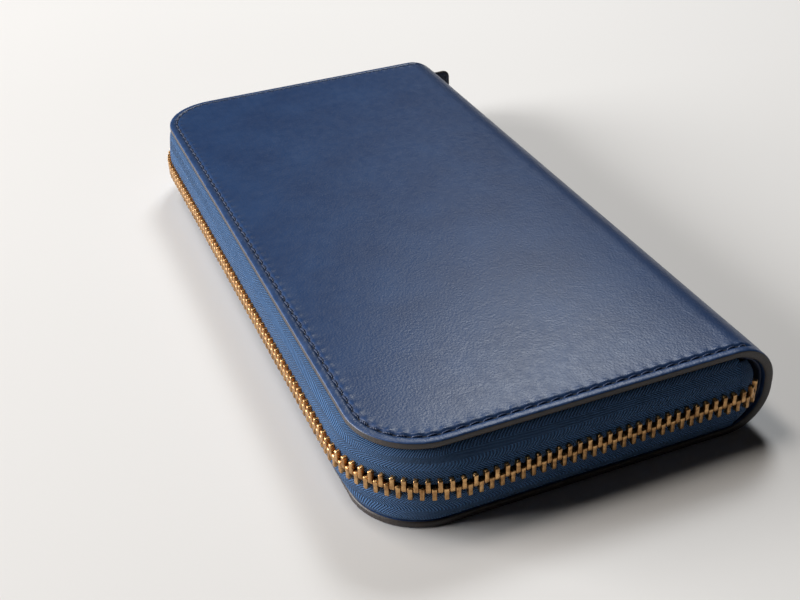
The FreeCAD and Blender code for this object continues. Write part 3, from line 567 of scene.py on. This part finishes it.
def cover_height(x, v, inset, out):
    """Outward height of the cover's face: rim, pressed seam, the leather's puffs and the dome."""
    on_front = v < cover_fold.total / 2
    w = np.where(on_front, v, cover_fold.total - v)
    flat_y = np.minimum(w, cover_fold.flat) - FRONT
    padded = dome(x, flat_y) * (1 - smooth(w, cover_fold.flat - 4, cover_fold.flat + 4))
    if out is None:
        return np.where(on_front, padded + 0.05, 0.0)
    if out <= -LEATHER + 0.6:
        thicker = SPINE_EXTRA * smooth(w, cover_fold.flat, cover_fold.flat + SPINE_GROW)
        return out - thicker * smooth(-out, LEATHER - 0.6, LEATHER)
    y = w - FRONT
    sewn = 1 - smooth(y, SEAM_END - 0.5, SEAM_END + 1.6)
    bay = 0.5 - 0.5 * np.cos(2 * math.pi * seam_measure(x, y) / STITCH)
    if inset > 1.3 and out < -0.005:
        out = out * sewn - 0.16 * (1 - bay) * sewn * math.exp(-((inset - SEAM) / 0.5) ** 2)
    puff = 0.05 * math.exp(-((inset - 1.4) / 0.35) ** 2) + 0.24 * math.exp(-((inset - 3.15) / 0.5) ** 2)
    return out + np.where(on_front, puff * bay * sewn + padded, -0.04)


def cover_under(x, v):
    w = np.minimum(v, cover_fold.total - v)
    return LEATHER + SPINE_EXTRA * smooth(w, cover_fold.flat, cover_fold.flat + SPINE_GROW)


mesh = Mesh()
shell(mesh, cover_fold, COVER_ROWS, cover_height, cover_under, 306, 288, 48, edge_rows=range(1, 6))
cover = mesh.build("cover", COVER, EDGE)
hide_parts("front_cover", "spine_leather", "back_cover")
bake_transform(cover)

lining_low, lining_high = span_mm("front_lining")
lining_fold = Fold(TOP - lining_high[2], HALF - lining_high[0])
LINING_T = lining_high[2] - lining_low[2]
LINING_ROWS = [
    (0.5, -LINING_T), (0.1, -LINING_T + 0.06), (0.0, -LINING_T + 0.2),
    (0.0, -0.2), (0.1, -0.06), (0.5, 0.0), (5.0, 0.0),
]


def plain_height(x, v, inset, out):
    return np.zeros(np.shape(x)) if out is None else np.full(np.shape(x), out)


def plain_under(thick):
    return lambda x, v: np.full(np.shape(x), thick)


mesh = Mesh()
shell(mesh, lining_fold, LINING_ROWS, plain_height, plain_under(LINING_T), 150, 141, 12)
lining = mesh.build("lining", LINING)
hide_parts("front_lining", "spine_lining", "back_lining")
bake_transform(lining)


def stitches(side):
    """Slanted saddle stitches that dip into their holes, and the painted shade of the holes between them:
    near-black blobs.
    """
    front = side == "front"
    threads, hole_shade = Mesh(), Mesh()

    def on_cover(x, y, out):
        v = np.asarray(y) + FRONT
        base = dome(x, np.minimum(y, BEND_Y)) * (1 - smooth(y, BEND_Y - 4, BEND_Y + 4)) if front else 0.0
        return cover_fold.point(x, v if front else cover_fold.total - v, out + base)

    turn = np.linspace(0, 2 * math.pi, 12, endpoint=False)
    # painted shade: a near-black blob at each stitch hole, poking just above the pressed seam
    for k in range(STITCHES + 1):
        (x, y), (dx, dy) = seam_point(min(max(k * STITCH, 0.01), seam_total - 0.01))
        rings = []
        for share, out in ((0.5, -0.6), (0.9, -0.45), (1.0, -0.34), (0.7, -0.37)):
            a, b = 0.5 * share * np.cos(turn), 0.24 * share * np.sin(turn)
            rings.append(on_cover(x + dx * a - dy * b, y + dy * a + dx * b, out))
        grid = hole_shade.add(np.array(rings)).reshape(4, 12)
        hole_shade.quads(grid, wrap=True)
        hole_shade.face(grid[0][::-1])
        hole_shade.face(grid[-1])
    t = np.array([-1.12, -1.04, -0.86, -0.45, 0.0, 0.45, 0.86, 1.04, 1.12])
    dip = np.array([-0.7, -0.42, -0.2, -0.11, -0.09, -0.11, -0.2, -0.42, -0.7]) - (0.0 if front else 0.2)
    thick = 0.235 * np.array([0.8, 0.9, 1, 1.05, 1.06, 1.05, 1, 0.9, 0.8])
    for k in range(STITCHES):
        (x, y), (dx, dy) = seam_point((k + 0.5) * STITCH)
        lean = math.radians(8 + rng.normal(0, 1.2))
        dx, dy = dx * math.cos(lean) - dy * math.sin(lean), dx * math.sin(lean) + dy * math.cos(lean)
        tube(threads, on_cover(x + dx * t, y + dy * t, dip), thick)
    body = f"{side}_half"
    finish_piece(threads.build(f"{side}_stitches", THREAD), body, [f"{side}_stitching"])
    finish_piece(hole_shade.build(f"{side}_stitch_hole_shade", HOLE_SHADE), body)


stitches("front")
stitches("back")


# ---------------------------------------------------------------- zip


def route(half, front, back, radius, counts=(52, 26, 128)):
    """Open outline in plan: down the right end, along the front, up the left end."""
    run, turn, across = counts
    y = np.linspace(back, radius - front, run + 1)
    a = np.linspace(0, QUARTER, turn + 1)[1:]
    x = np.linspace(half - radius, radius - half, across + 1)[1:]
    right = np.stack([np.full(run + 1, half), y], axis=-1)
    bend = np.stack([half - radius + radius * np.cos(a), radius - front - radius * np.sin(a)], axis=-1)
    middle = np.stack([x, np.full(across, -front)], axis=-1)
    left_bend = bend[::-1] * (-1, 1)
    left = right[::-1] * (-1, 1)
    return np.concatenate([right, bend, middle, left_bend[1:], left])


# The tape's section, from under the cover to the chain: out from the cover's edge, up from the chain.
TAPE_LINE = np.array([
    (-6.9, 9.87), (-4.0, 9.87), (-1.9, 9.86), (-1.0, 9.78), (-0.45, 9.55), (-0.05, 9.1),
    (0.35, 8.4), (0.8, 7.5), (1.2, 6.6), (1.5, 5.8), (1.68, 5.0), (1.78, 4.2), (1.8, 3.3),
    (1.8, 2.4), (1.8, TAPE_EDGE),
])


def tape_radius(offset, level):
    """The wall's corner radius grows from the cover's to the chain's."""
    share = 1 - smooth(level, 5.0, 9.6)
    return CORNER_R + offset + share * (CHAIN_R - CHAIN_OUT - CORNER_R)


def zip_tape(name, body, node, sign):
    """The visible tape: sewn under the cover, rolled over its edge and down to the chain."""
    section, across = thickened(TAPE_LINE, TAPE_THICK / 2)
    mesh = Mesh()
    rings = []
    run = run_along(route(HALF + CHAIN_OUT, FRONT + CHAIN_OUT, CHAIN_BACK, CHAIN_R))
    for (offset, level), v in zip(section, across):
        flat = route(HALF + offset, FRONT + offset, CHAIN_BACK, tape_radius(offset, level))
        xyz = np.column_stack([flat, np.full(len(flat), MID + sign * level)])
        rings.append(mesh.add(xyz, np.column_stack([run, np.full(len(run), v)])))
    grid = np.array(rings)
    grid = np.concatenate([grid, grid[:1]])
    mesh.quads(grid, flip=sign < 0)
    mesh.face(grid[:-1, 0][::-1] if sign > 0 else grid[:-1, 0])
    mesh.face(grid[:-1, -1] if sign > 0 else grid[:-1, -1][::-1])
    for hand, angle in ((1, 90 if sign < 0 else 55), (-1, 55)):
        tape_curl(mesh, hand, math.radians(angle), sign, 0.0 if hand > 0 else run[-1])
    finish_piece(mesh.build(name, TAPE), body, [node])


def tape_curl(mesh, hand, angle, sign, start):
    """The tape's wall turned in behind the spine, cut lower as it turns to clear the lining.
    The room there is a circle in the spine's bend, its middle a little past the chain's level."""
    room_r, room_level, room_start, inner_r = 7.8, 1, 0.4, CURL_R - 2.0
    section, across = thickened(TAPE_LINE, TAPE_THICK / 2)
    wall = section[:, 0] > -0.6
    section, across = section[wall], across[wall]
    top = TAPE_LINE[4:, 1].max()
    reach = CURL_R - CHAIN_OUT + section[:, 0]
    rings = []
    for turn in np.linspace(0, angle, 10):
        depth = inner_r * math.sin(turn) + room_start
        limit = room_level + np.sqrt(np.maximum(room_r ** 2 - depth ** 2, 0))
        share = min(1.0, (limit - TAPE_EDGE) / (top - TAPE_EDGE))
        level = TAPE_EDGE + (section[:, 1] - TAPE_EDGE) * share
        x = hand * (HALF + CHAIN_OUT - CURL_R + reach * math.cos(turn))
        y = CHAIN_BACK + reach * math.sin(turn)
        along = start - hand * CURL_R * turn
        rings.append(mesh.add(np.column_stack([x, y, MID + sign * level]),
                              np.column_stack([np.full(len(x), along), across])))
    grid = np.array(rings)
    flip = hand * sign > 0
    mesh.quads(grid, wrap=True, flip=not flip)
    mesh.face(grid[0] if flip else grid[0][::-1])
    mesh.face(grid[-1][::-1] if flip else grid[-1])


zip_tape("upper_tape", "front_half", "upper_zip_tape", 1)
zip_tape("lower_tape", "back_half", "lower_zip_tape", -1)


def chain_point(s):
    """Point and heading on the chain's middle line; s starts behind the spine's right end."""
    x, y, heading = HALF + CHAIN_OUT - CURL_R, CHAIN_BACK + CURL_R, 0.0
    for kind, size in (("bend", CURL_R), ("straight", CHAIN_SIDE), ("bend", CHAIN_R),
                       ("straight", CHAIN_FRONT), ("bend", CHAIN_R), ("straight", CHAIN_SIDE),
                       ("bend", CURL_R)):
        length = size * QUARTER if kind == "bend" else size
        here = min(s, length)
        if kind == "straight":
            x += math.cos(heading) * here
            y += math.sin(heading) * here
        else:
            turn = here / size
            x += math.cos(heading) * size * math.sin(turn) + math.sin(heading) * size * (1 - math.cos(turn))
            y += math.sin(heading) * size * math.sin(turn) - math.cos(heading) * size * (1 - math.cos(turn))
            heading -= turn
        s -= here
        if s <= 0:
            break
    return x, y, heading


def tooth_shape(width, depth, length, foot):
    """A cast tooth standing up from foot: a flat-faced bar with a fuller head and eased edges.
    levels are its height, width and depth, each a share of its own."""
    corner = 0.2
    ring = []
    for quarter in range(4):
        sx, sy = (1, -1, -1, 1)[quarter], (1, 1, -1, -1)[quarter]
        for step in range(3):
            a = (quarter + step / 2) * QUARTER
            ring.append((sx * (width / 2 - corner) + corner * math.cos(a),
                         sy * (depth / 2 - corner) + corner * math.sin(a)))
    ring = np.array(ring)
    levels = ((0.0, 0.6, 0.7), (0.03, 0.84, 0.88), (0.09, 0.97, 0.98), (0.2, 1.02, 1.0), (0.36, 1.0, 1.0),
              (0.43, 0.9, 0.97), (0.55, 0.88, 0.97), (0.9, 0.9, 1.0), (0.96, 0.86, 0.95), (1.0, 0.66, 0.78))
    return np.array([
        np.column_stack([ring[:, 0] * w, ring[:, 1] * d, np.full(len(ring), foot + length * h)])
        for h, w, d in levels
    ])


def teeth(name, body, node, shape, spots, sign):
    """One row of teeth as a single mesh. spots are (x, y, heading)."""
    mesh = Mesh()
    rows, sides = shape.shape[:2]
    for x, y, heading in spots:
        lean = heading + rng.normal(0, 0.012)
        c, s = math.cos(lean), math.sin(lean)
        local = shape.reshape(-1, 3)
        xyz = np.column_stack([
            x + local[:, 0] * c - local[:, 1] * s,
            y + local[:, 0] * s + local[:, 1] * c,
            MID + sign * local[:, 2],
        ])
        grid = mesh.add(xyz).reshape(rows, sides)
        mesh.quads(grid, wrap=True, flip=sign < 0)
        mesh.face(grid[0][::-1] if sign > 0 else grid[0])
        mesh.face(grid[-1] if sign > 0 else grid[-1][::-1])
    finish_piece(mesh.build(name, BRASS), body, [node])


slider_low, _ = span_mm("main_slider")
last_y = slider_low[1] - TEETH_CLEAR - TOOTH_HALF
chain_end = (CURL_R * QUARTER + 2 * CHAIN_SIDE + 2 * CHAIN_R * QUARTER + CHAIN_FRONT
             - (CHAIN_BACK - last_y))
main_tooth = tooth_shape(1.16, 2.7, 3.38, -0.68)
for name, body, sign in (("upper", "front_half", 1), ("lower", "back_half", -1)):
    first = FIRST_TOOTH[name]
    count = int((chain_end - first) / PITCH) + 1
    spots = [chain_point(first + k * PITCH) for k in range(count)]
    teeth(f"{name}_teeth", body, f"{name}_zip_teeth", main_tooth, spots, sign)


# ---------------------------------------------------------------- flat sheets and their seams


class Panel:
    """A flat sheet: x runs across it, v from its front edge back, and out from its face."""

    def __init__(self, origin, across, ahead, half, total, radius):
        self.origin, self.across, self.ahead = (np.array(a, float) for a in (origin, across, ahead))
        self.up = np.cross(self.across, self.ahead)
        self.half, self.total, self.radius = half, total, radius

    def point(self, x, v, out):
        x, v, out = np.broadcast_arrays(np.asarray(x, float), v, out)
        return (self.origin + x[..., None] * self.across + v[..., None] * self.ahead
                + out[..., None] * self.up)


def level_panel(low, high, face, radius):
    """A panel that fills a flat box, with its face up (1) or down (-1)."""
    origin = ((low[0] + high[0]) / 2, low[1], high[2] if face > 0 else low[2])
    return Panel(origin, (face, 0, 0), (0, 1, 0), (high[0] - low[0]) / 2, high[1] - low[1], radius)


def rolled(thick, seam, pressed=0.14):
    """Rows of a sheet's section: a rounded edge, then a pressed line at seam from the edge."""
    turn = np.linspace(-QUARTER, QUARTER, 7)
    rows = [(thick / 2 * (1 - math.cos(a)), thick / 2 * (math.sin(a) - 1)) for a in turn]
    rows += [(seam + step, -pressed * share)
             for step, share in ((-0.5, 0), (-0.25, 0.6), (0, 1), (0.25, 0.6), (0.5, 0), (0.8, 0))]
    return rows


def seam_loop(panel, inset):
    """The closed line at an inset from a panel's edge, as (x, v) points."""
    points, _, _ = loop_samples(
        panel.half - inset, inset, panel.total - inset, panel.radius - inset, 24, 24, 8
    )
    return np.concatenate([points, points[:1]])


def everywhere(x, v):
    return True


def sewn(mesh, panel, points, where=everywhere, pitch=2.8, thick=0.19, lift=None):
    """Stitches end to end along a line on a panel, where it is sewn. lift is the cloth's rise."""
    run = run_along(points)
    count = max(1, round(run[-1] / pitch))
    step = run[-1] / count
    rise = np.array([-0.16, 0.0, 0.04, 0.0, -0.16])
    for k in range(count):
        at = (k + 0.5 + np.linspace(-0.42, 0.42, 5)) * step
        x, v = np.interp(at, run, points[:, 0]), np.interp(at, run, points[:, 1])
        if where(x[2], v[2]):
            radii = thick * np.array([0.7, 1, 1.05, 1, 0.7])
            out = rise if lift is None else rise + lift(x, v)
            tube(mesh, panel.point(x, v, out), radii, sides=6, up=panel.up)


# ---------------------------------------------------------------- pull tab


tab_low, tab_high = span_mm("pull_tab")
TAB_T = tab_high[0] - tab_low[0]
TAB_THIN = 0.24  # how far each face sinks
TAB_SEAM = 1.5
tab = Panel((tab_low[0], tab_low[1], MID), (0, 0, 1), (0, 1, 0),
            (tab_high[2] - tab_low[2]) / 2, tab_high[1] - tab_low[1], 2.6)


def tab_thinning(v):
    """Both faces close in past the loop that holds the ring's bar."""
    return TAB_THIN * smooth(v, 2.6, 6.0)


def tab_height(x, v, inset, out):
    if out is None:
        return -tab_thinning(v)
    return out - tab_thinning(v) * (1 + 2 * out / TAB_T)


mesh = Mesh()
shell(mesh, tab, rolled(TAB_T, TAB_SEAM, 0.2), tab_height, lambda x, v: TAB_T - tab_thinning(v),
      60, 12, 12, edge_rows=range(1, 5))
finish_piece(mesh.build("tab", TAB, EDGE), "main_pull", ["pull_tab"])
mesh = Mesh()
for face in (1, -1):
    level = tab_low[0] + TAB_THIN if face > 0 else tab_high[0] - TAB_THIN
    outside = Panel((level, tab_low[1], MID), (0, 0, face), (0, 1, 0), tab.half, tab.total, tab.radius)
    sewn(mesh, outside, seam_loop(outside, TAB_SEAM), lambda x, v: v > 4.5, 1.9, 0.2)
finish_piece(mesh.build("tab_stitches", THREAD), "main_pull")


# ---------------------------------------------------------------- card panels, slots, dividers

CARD_SEAM = 1.8
STRIP_ROWS = 4
STRIP_STEP = 12.0  # from one strip's front edge to the next one's
STRIP_DEPTH = 24.0  # the last one runs on to the back of the slots
STRIP_GAP = 2.0  # between the two columns
STRIP_EASE = 0.04  # between one strip and the next, through the thickness
STRIP_SEAM = 1.5


def card_side(side, face):
    """A half's card panel and its two columns of stepped, stitched card slots."""
    body = f"{side}_half"
    low, high = span_mm(f"{side}_card_panel")
    panel = level_panel(low, high, face, 5.0)
    thick = high[2] - low[2]
    mesh, threads = Mesh(), Mesh()
    shell(mesh, panel, rolled(thick, CARD_SEAM), plain_height, plain_under(thick), 60, 120, 12)
    finish_piece(mesh.build(f"{side}_panel", LINING), body, [f"{side}_card_panel"])
    sewn(threads, panel, seam_loop(panel, CARD_SEAM))

    low, high = span_mm(f"{side}_card_slots")
    thick = (high[2] - low[2]) / STRIP_ROWS
    cut = thick - STRIP_EASE
    mesh = Mesh()
    for row in range(STRIP_ROWS):
        front = low[1] + row * STRIP_STEP
        back = high[1] if row == STRIP_ROWS - 1 else front + STRIP_DEPTH
        level = low[2] + row * thick if face > 0 else high[2] - (row + 1) * thick
        for hand in (1, -1):
            near, far = sorted((hand * STRIP_GAP / 2, hand * high[0]))
            strip = level_panel((near, front, level), (far, back, level + thick), face, 2.8)
            shell(mesh, strip, rolled(cut, STRIP_SEAM), plain_height, plain_under(cut), 24, 60, 9)
            sewn(threads, strip, seam_loop(strip, STRIP_SEAM), lambda x, v: abs(x) > strip.half - 1.8)
    finish_piece(mesh.build(f"{side}_slots", LINING), body, [f"{side}_card_slots"])
    finish_piece(threads.build(f"{side}_card_stitches", THREAD), body)


card_side("back", 1)
card_side("front", -1)


def divider(side, face):
    """A bill divider: cloth turned in and sewn along its front edge, not quite flat.
    Returns how far its middle lies from the wallet's."""
    low, high = span_mm(f"{side}_divider")
    panel = level_panel(low, high, face, 5.0)
    thick = 0.45
    slack = 0.5 * (high[2] - low[2] - thick)
    seam = 2.4

    def wave(x, v):
        return 0.2 * np.sin(x / 17.0 + face) * np.sin(v / 19.0 + 0.7) + 0.1 * np.sin(x / 7.5 - v / 11.0)

    def height(x, v, inset, out):
        return wave(x, v) - slack + (0.0 if out is None else out)

    def under(x, v):
        return thick + slack - wave(x, v)

    mesh, threads = Mesh(), Mesh()
    shell(mesh, panel, rolled(thick, seam, 0.1), height, under, 72, 168, 12)
    cloth = finish_piece(mesh.build(f"{side}_bill_divider", CLOTH), f"{side}_divider",
                         [f"{side}_divider"])
    line = np.array([(x, seam) for x in np.linspace(5 - panel.half, panel.half - 5, 40)])
    sewn(threads, panel, line, lift=lambda x, v: wave(x, v) - slack)
    finish_piece(threads.build(f"{side}_divider_stitches", THREAD), f"{side}_divider")
    return MID - (low[2] + high[2]) / 2


divider_level = divider("back", -1)
divider("front", 1)


# ---------------------------------------------------------------- gussets


def gusset(side, hand):
    """Lining cloth folded to and fro between the leaves at one end."""
    low, high = span_mm(f"{side}_gusset")
    inner, outer = min(abs(low[0]), abs(high[0])) + 0.45, max(abs(low[0]), abs(high[0])) - 0.35
    top = high[2] - MID
    level = abs(divider_level)
    mid_level = (top + level) / 2
    folds = [(outer, -top), (outer, -mid_level), (inner, -level), (outer, -level / 2), (inner, 0),
             (outer, level / 2), (inner, level), (outer, mid_level), (outer, top)]
    section = []
    for (x0, z0), (x1, z1) in zip(folds[:-1], folds[1:]):
        for share in np.linspace(0, 1, 8, endpoint=False):
            section.append((x0 + (x1 - x0) * float(smooth(share, 0, 1)), z0 + (z1 - z0) * share))
    section = np.array(section + [folds[-1]])
    run = run_along(section)
    closed, across = thickened(section, -0.17)
    mesh = Mesh()
    rings = []
    for y in np.linspace(low[1], high[1], 33):
        sway = 0.18 * math.sin(y / 9.0 + hand) + 0.1 * math.sin(y / 3.7)
        bend = 1 - (closed[:, 1] / top) ** 2
        x = hand * (closed[:, 0] + sway * bend * 0.6)
        xyz = np.column_stack([x, np.full(len(x), y), MID + closed[:, 1]])
        rings.append(mesh.add(xyz, np.column_stack([np.full(len(x), y), across])))
    grid = np.array(rings)
    mesh.quads(grid, wrap=True, flip=hand > 0)
    mesh.face(grid[0][::-1] if hand > 0 else grid[0])
    mesh.face(grid[-1] if hand > 0 else grid[-1][::-1])
    cloth = mesh.build(f"{side}_folded_gusset", CLOTH)
    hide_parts(f"{side}_gusset")
    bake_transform(cloth)


gusset("left", -1)
gusset("right", 1)


# ---------------------------------------------------------------- coin pocket


COIN_SEAM = 1.7
COIN_PITCH = 2.0
COIN_TOOTH = 0.8


def coin_wall(side, face):
    """A wall of the coin pocket, sewn to the rim round its closed sides."""
    low, high = span_mm(f"coin_pocket_{side}")
    panel = level_panel(low, high, face, 3.2)
    thick = high[2] - low[2]
    mesh, threads = Mesh(), Mesh()
    shell(mesh, panel, rolled(thick, COIN_SEAM), plain_height, plain_under(thick), 60, 120, 9)
    finish_piece(mesh.build(f"coin_wall_{side}", LINING), "coin_pocket",
                 [f"coin_pocket_{side}"])
    sewn(threads, panel, seam_loop(panel, COIN_SEAM), lambda x, v: v > 4.5)
    finish_piece(threads.build(f"coin_stitches_{side}", THREAD), "coin_pocket")


coin_wall("back", -1)
coin_wall("front", 1)


def coin_rim():
    """The folded strip between the walls, round both ends and the spine side."""
    low, high = span_mm("coin_pocket_binding")
    deep, tall, turn = 1.5, high[2] - low[2] - 0.02, 2.6
    around = np.linspace(0, 2 * math.pi, 20, endpoint=False)
    square = np.maximum(np.abs(np.cos(around)), np.abs(np.sin(around))) ** 0.85
    section = np.column_stack([np.cos(around) / square * deep / 2, np.sin(around) / square * tall / 2])
    section[:, 0] -= deep / 2
    mesh = Mesh()
    rings = []
    for offset, level in section:
        flat = route(high[0] + offset, high[1] + offset, -low[1], turn + offset, (20, 8, 50))
        xyz = np.column_stack([flat[:, 0], -flat[:, 1], np.full(len(flat), MID + level)])
        rings.append(mesh.add(xyz, np.column_stack([run_along(flat), np.full(len(flat), level)])))
    grid = np.array(rings)
    mesh.quads(np.concatenate([grid, grid[:1]]))
    mesh.face(grid[:, 0][::-1])
    mesh.face(grid[:, -1])
    finish_piece(mesh.build("coin_rim", LINING), "coin_pocket", ["coin_pocket_binding"])


coin_rim()


def coin_zip(side, sign):
    """The coin zip's tape, turned back over the wall's outside, and its row of teeth."""
    low, high = span_mm(f"coin_tape_{side}")
    lip, level = low[1] + 0.2, (high[2] - MID if sign > 0 else MID - low[2]) - 0.2
    edge = (low[2] - MID if sign > 0 else MID - high[2])
    bend = np.linspace(0, QUARTER, 6)
    line = np.array([(high[1], level), (high[1] - 2.5, level)]
                    + [(lip + 0.6 - 0.6 * math.sin(a), level - 0.6 + 0.6 * math.cos(a)) for a in bend]
                    + [(lip, level - 1.2), (lip, edge)])
    section, across = thickened(line, 0.19)
    mesh = Mesh()
    rings = []
    for x in np.linspace(low[0], high[0], 40):
        xyz = np.column_stack([np.full(len(section), x), section[:, 0], MID + sign * section[:, 1]])
        rings.append(mesh.add(xyz, np.column_stack([np.full(len(section), x), across])))
    grid = np.array(rings)
    mesh.quads(grid, wrap=True, flip=sign > 0)
    mesh.face(grid[0] if sign > 0 else grid[0][::-1])
    mesh.face(grid[-1][::-1] if sign > 0 else grid[-1])
    finish_piece(mesh.build(f"coin_zip_tape_{side}", TAPE), "coin_pocket",
                 [f"coin_tape_{side}"])

    low, high = span_mm(f"coin_teeth_{side}")
    first, middle = low[0] + COIN_TOOTH / 2, (low[1] + high[1]) / 2
    count = round((high[0] - low[0] - COIN_TOOTH) / COIN_PITCH) + 1
    spots = [(first + COIN_PITCH * k, middle, 0.0) for k in range(count)]
    shape = tooth_shape(0.86, high[1] - low[1], high[2] - low[2], -0.45)
    teeth(f"coin_row_{side}", "coin_pocket", f"coin_teeth_{side}", shape, spots, sign)


coin_zip("back", -1)
coin_zip("front", 1)


# ---------------------------------------------------------------- CAD nodes that stay

METAL = ("main_slider", "main_slider_bridge", "pull_ring", "coin_slider", "coin_slider_bridge",
         "coin_pull", "zip_bottom_stop", "upper_top_stop", "lower_top_stop", "coin_zip_stops")
for node in METAL + ("front_board", "back_board"):
    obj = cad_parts[node]
    obj.data.materials.clear()
    obj.data.materials.append(BRASS if node in METAL else BOARD)
    if node in METAL:
        weld = obj.modifiers.new("weld", "WELD")
        weld.merge_threshold = 0.00001
        bevel = obj.modifiers.new("bevel", "BEVEL")
        bevel.width = 0.00016
        bevel.segments = 2
        bevel.limit_method = "ANGLE"
        bevel.angle_limit = math.radians(40)

# ---------------------------------------------------------------- floor, light and camera


def floor_material():
    m = Nodes("floor_look")
    at = m.place()
    tone = m.noise(at, 0.004, 2.0)
    m.look(Base_Color=m.mix(tone, rgb(0.72, 0.71, 0.70), rgb(0.75, 0.74, 0.73)))
    m.look(Roughness=m.remap(tone, 0.0, 1.0, 0.62, 0.7))
    return m.material


bpy.ops.mesh.primitive_plane_add(size=6.0, location=(0, 0, 0))
floor = bpy.context.object
floor.name = "floor"
floor.data.materials.append(floor_material())


def lamp(name, at, aim, size, power, colour):
    data = bpy.data.lights.new(name, "AREA")
    data.shape = "RECTANGLE"
    data.size, data.size_y = size
    data.energy = power
    data.color = colour
    obj = bpy.data.objects.new(name, data)
    obj.location = at
    obj.rotation_mode = "QUATERNION"
    obj.rotation_quaternion = (Vector(aim) - Vector(at)).to_track_quat("-Z", "Y")
    bpy.context.scene.collection.objects.link(obj)


lamp("key", (-0.72, 0.50, 1.04), (0, 0, 0.02), (0.34, 0.34), 8.0, (0.95, 0.98, 1.0))
lamp("window", (-0.80, -1.75, 0.58), (0, 0, 0), (1.4, 1.0), 74.0, (1.0, 0.99, 0.98))
lamp("over", (-0.40, -0.30, 1.3), (0, 0, 0), (0.4, 0.4), 6.5, (1.0, 0.94, 0.87))
world = bpy.data.worlds.new("studio")
world.use_nodes = True
world.node_tree.nodes["Background"].inputs[0].default_value = (1.0, 0.95, 0.9, 1)
world.node_tree.nodes["Background"].inputs[1].default_value = 0.01
bpy.context.scene.world = world
bpy.context.scene.view_settings.view_transform = "Standard"

camera = bpy.data.objects.new("camera", bpy.data.cameras.new("camera"))
camera.data.lens = 53.75
camera.data.sensor_width = 36.0
camera.data.clip_start = 0.01
bpy.context.scene.collection.objects.link(camera)
spot = Vector((0.27397, -0.10925, 0.18322))
target = Vector((0.00963, -0.00871, 0))
roll = math.radians(-2.68)
ahead = (target - spot).normalized()
right = ahead.cross(Vector((0, 0, 1))).normalized()
up = right.cross(ahead)
tilted = right * math.cos(roll) + up * math.sin(roll)
over = tilted.cross(ahead)
camera.matrix_world = Matrix((
    (tilted.x, over.x, -ahead.x, spot.x),
    (tilted.y, over.y, -ahead.y, spot.y),
    (tilted.z, over.z, -ahead.z, spot.z),
    (0, 0, 0, 1),
))
bpy.context.scene.camera = camera
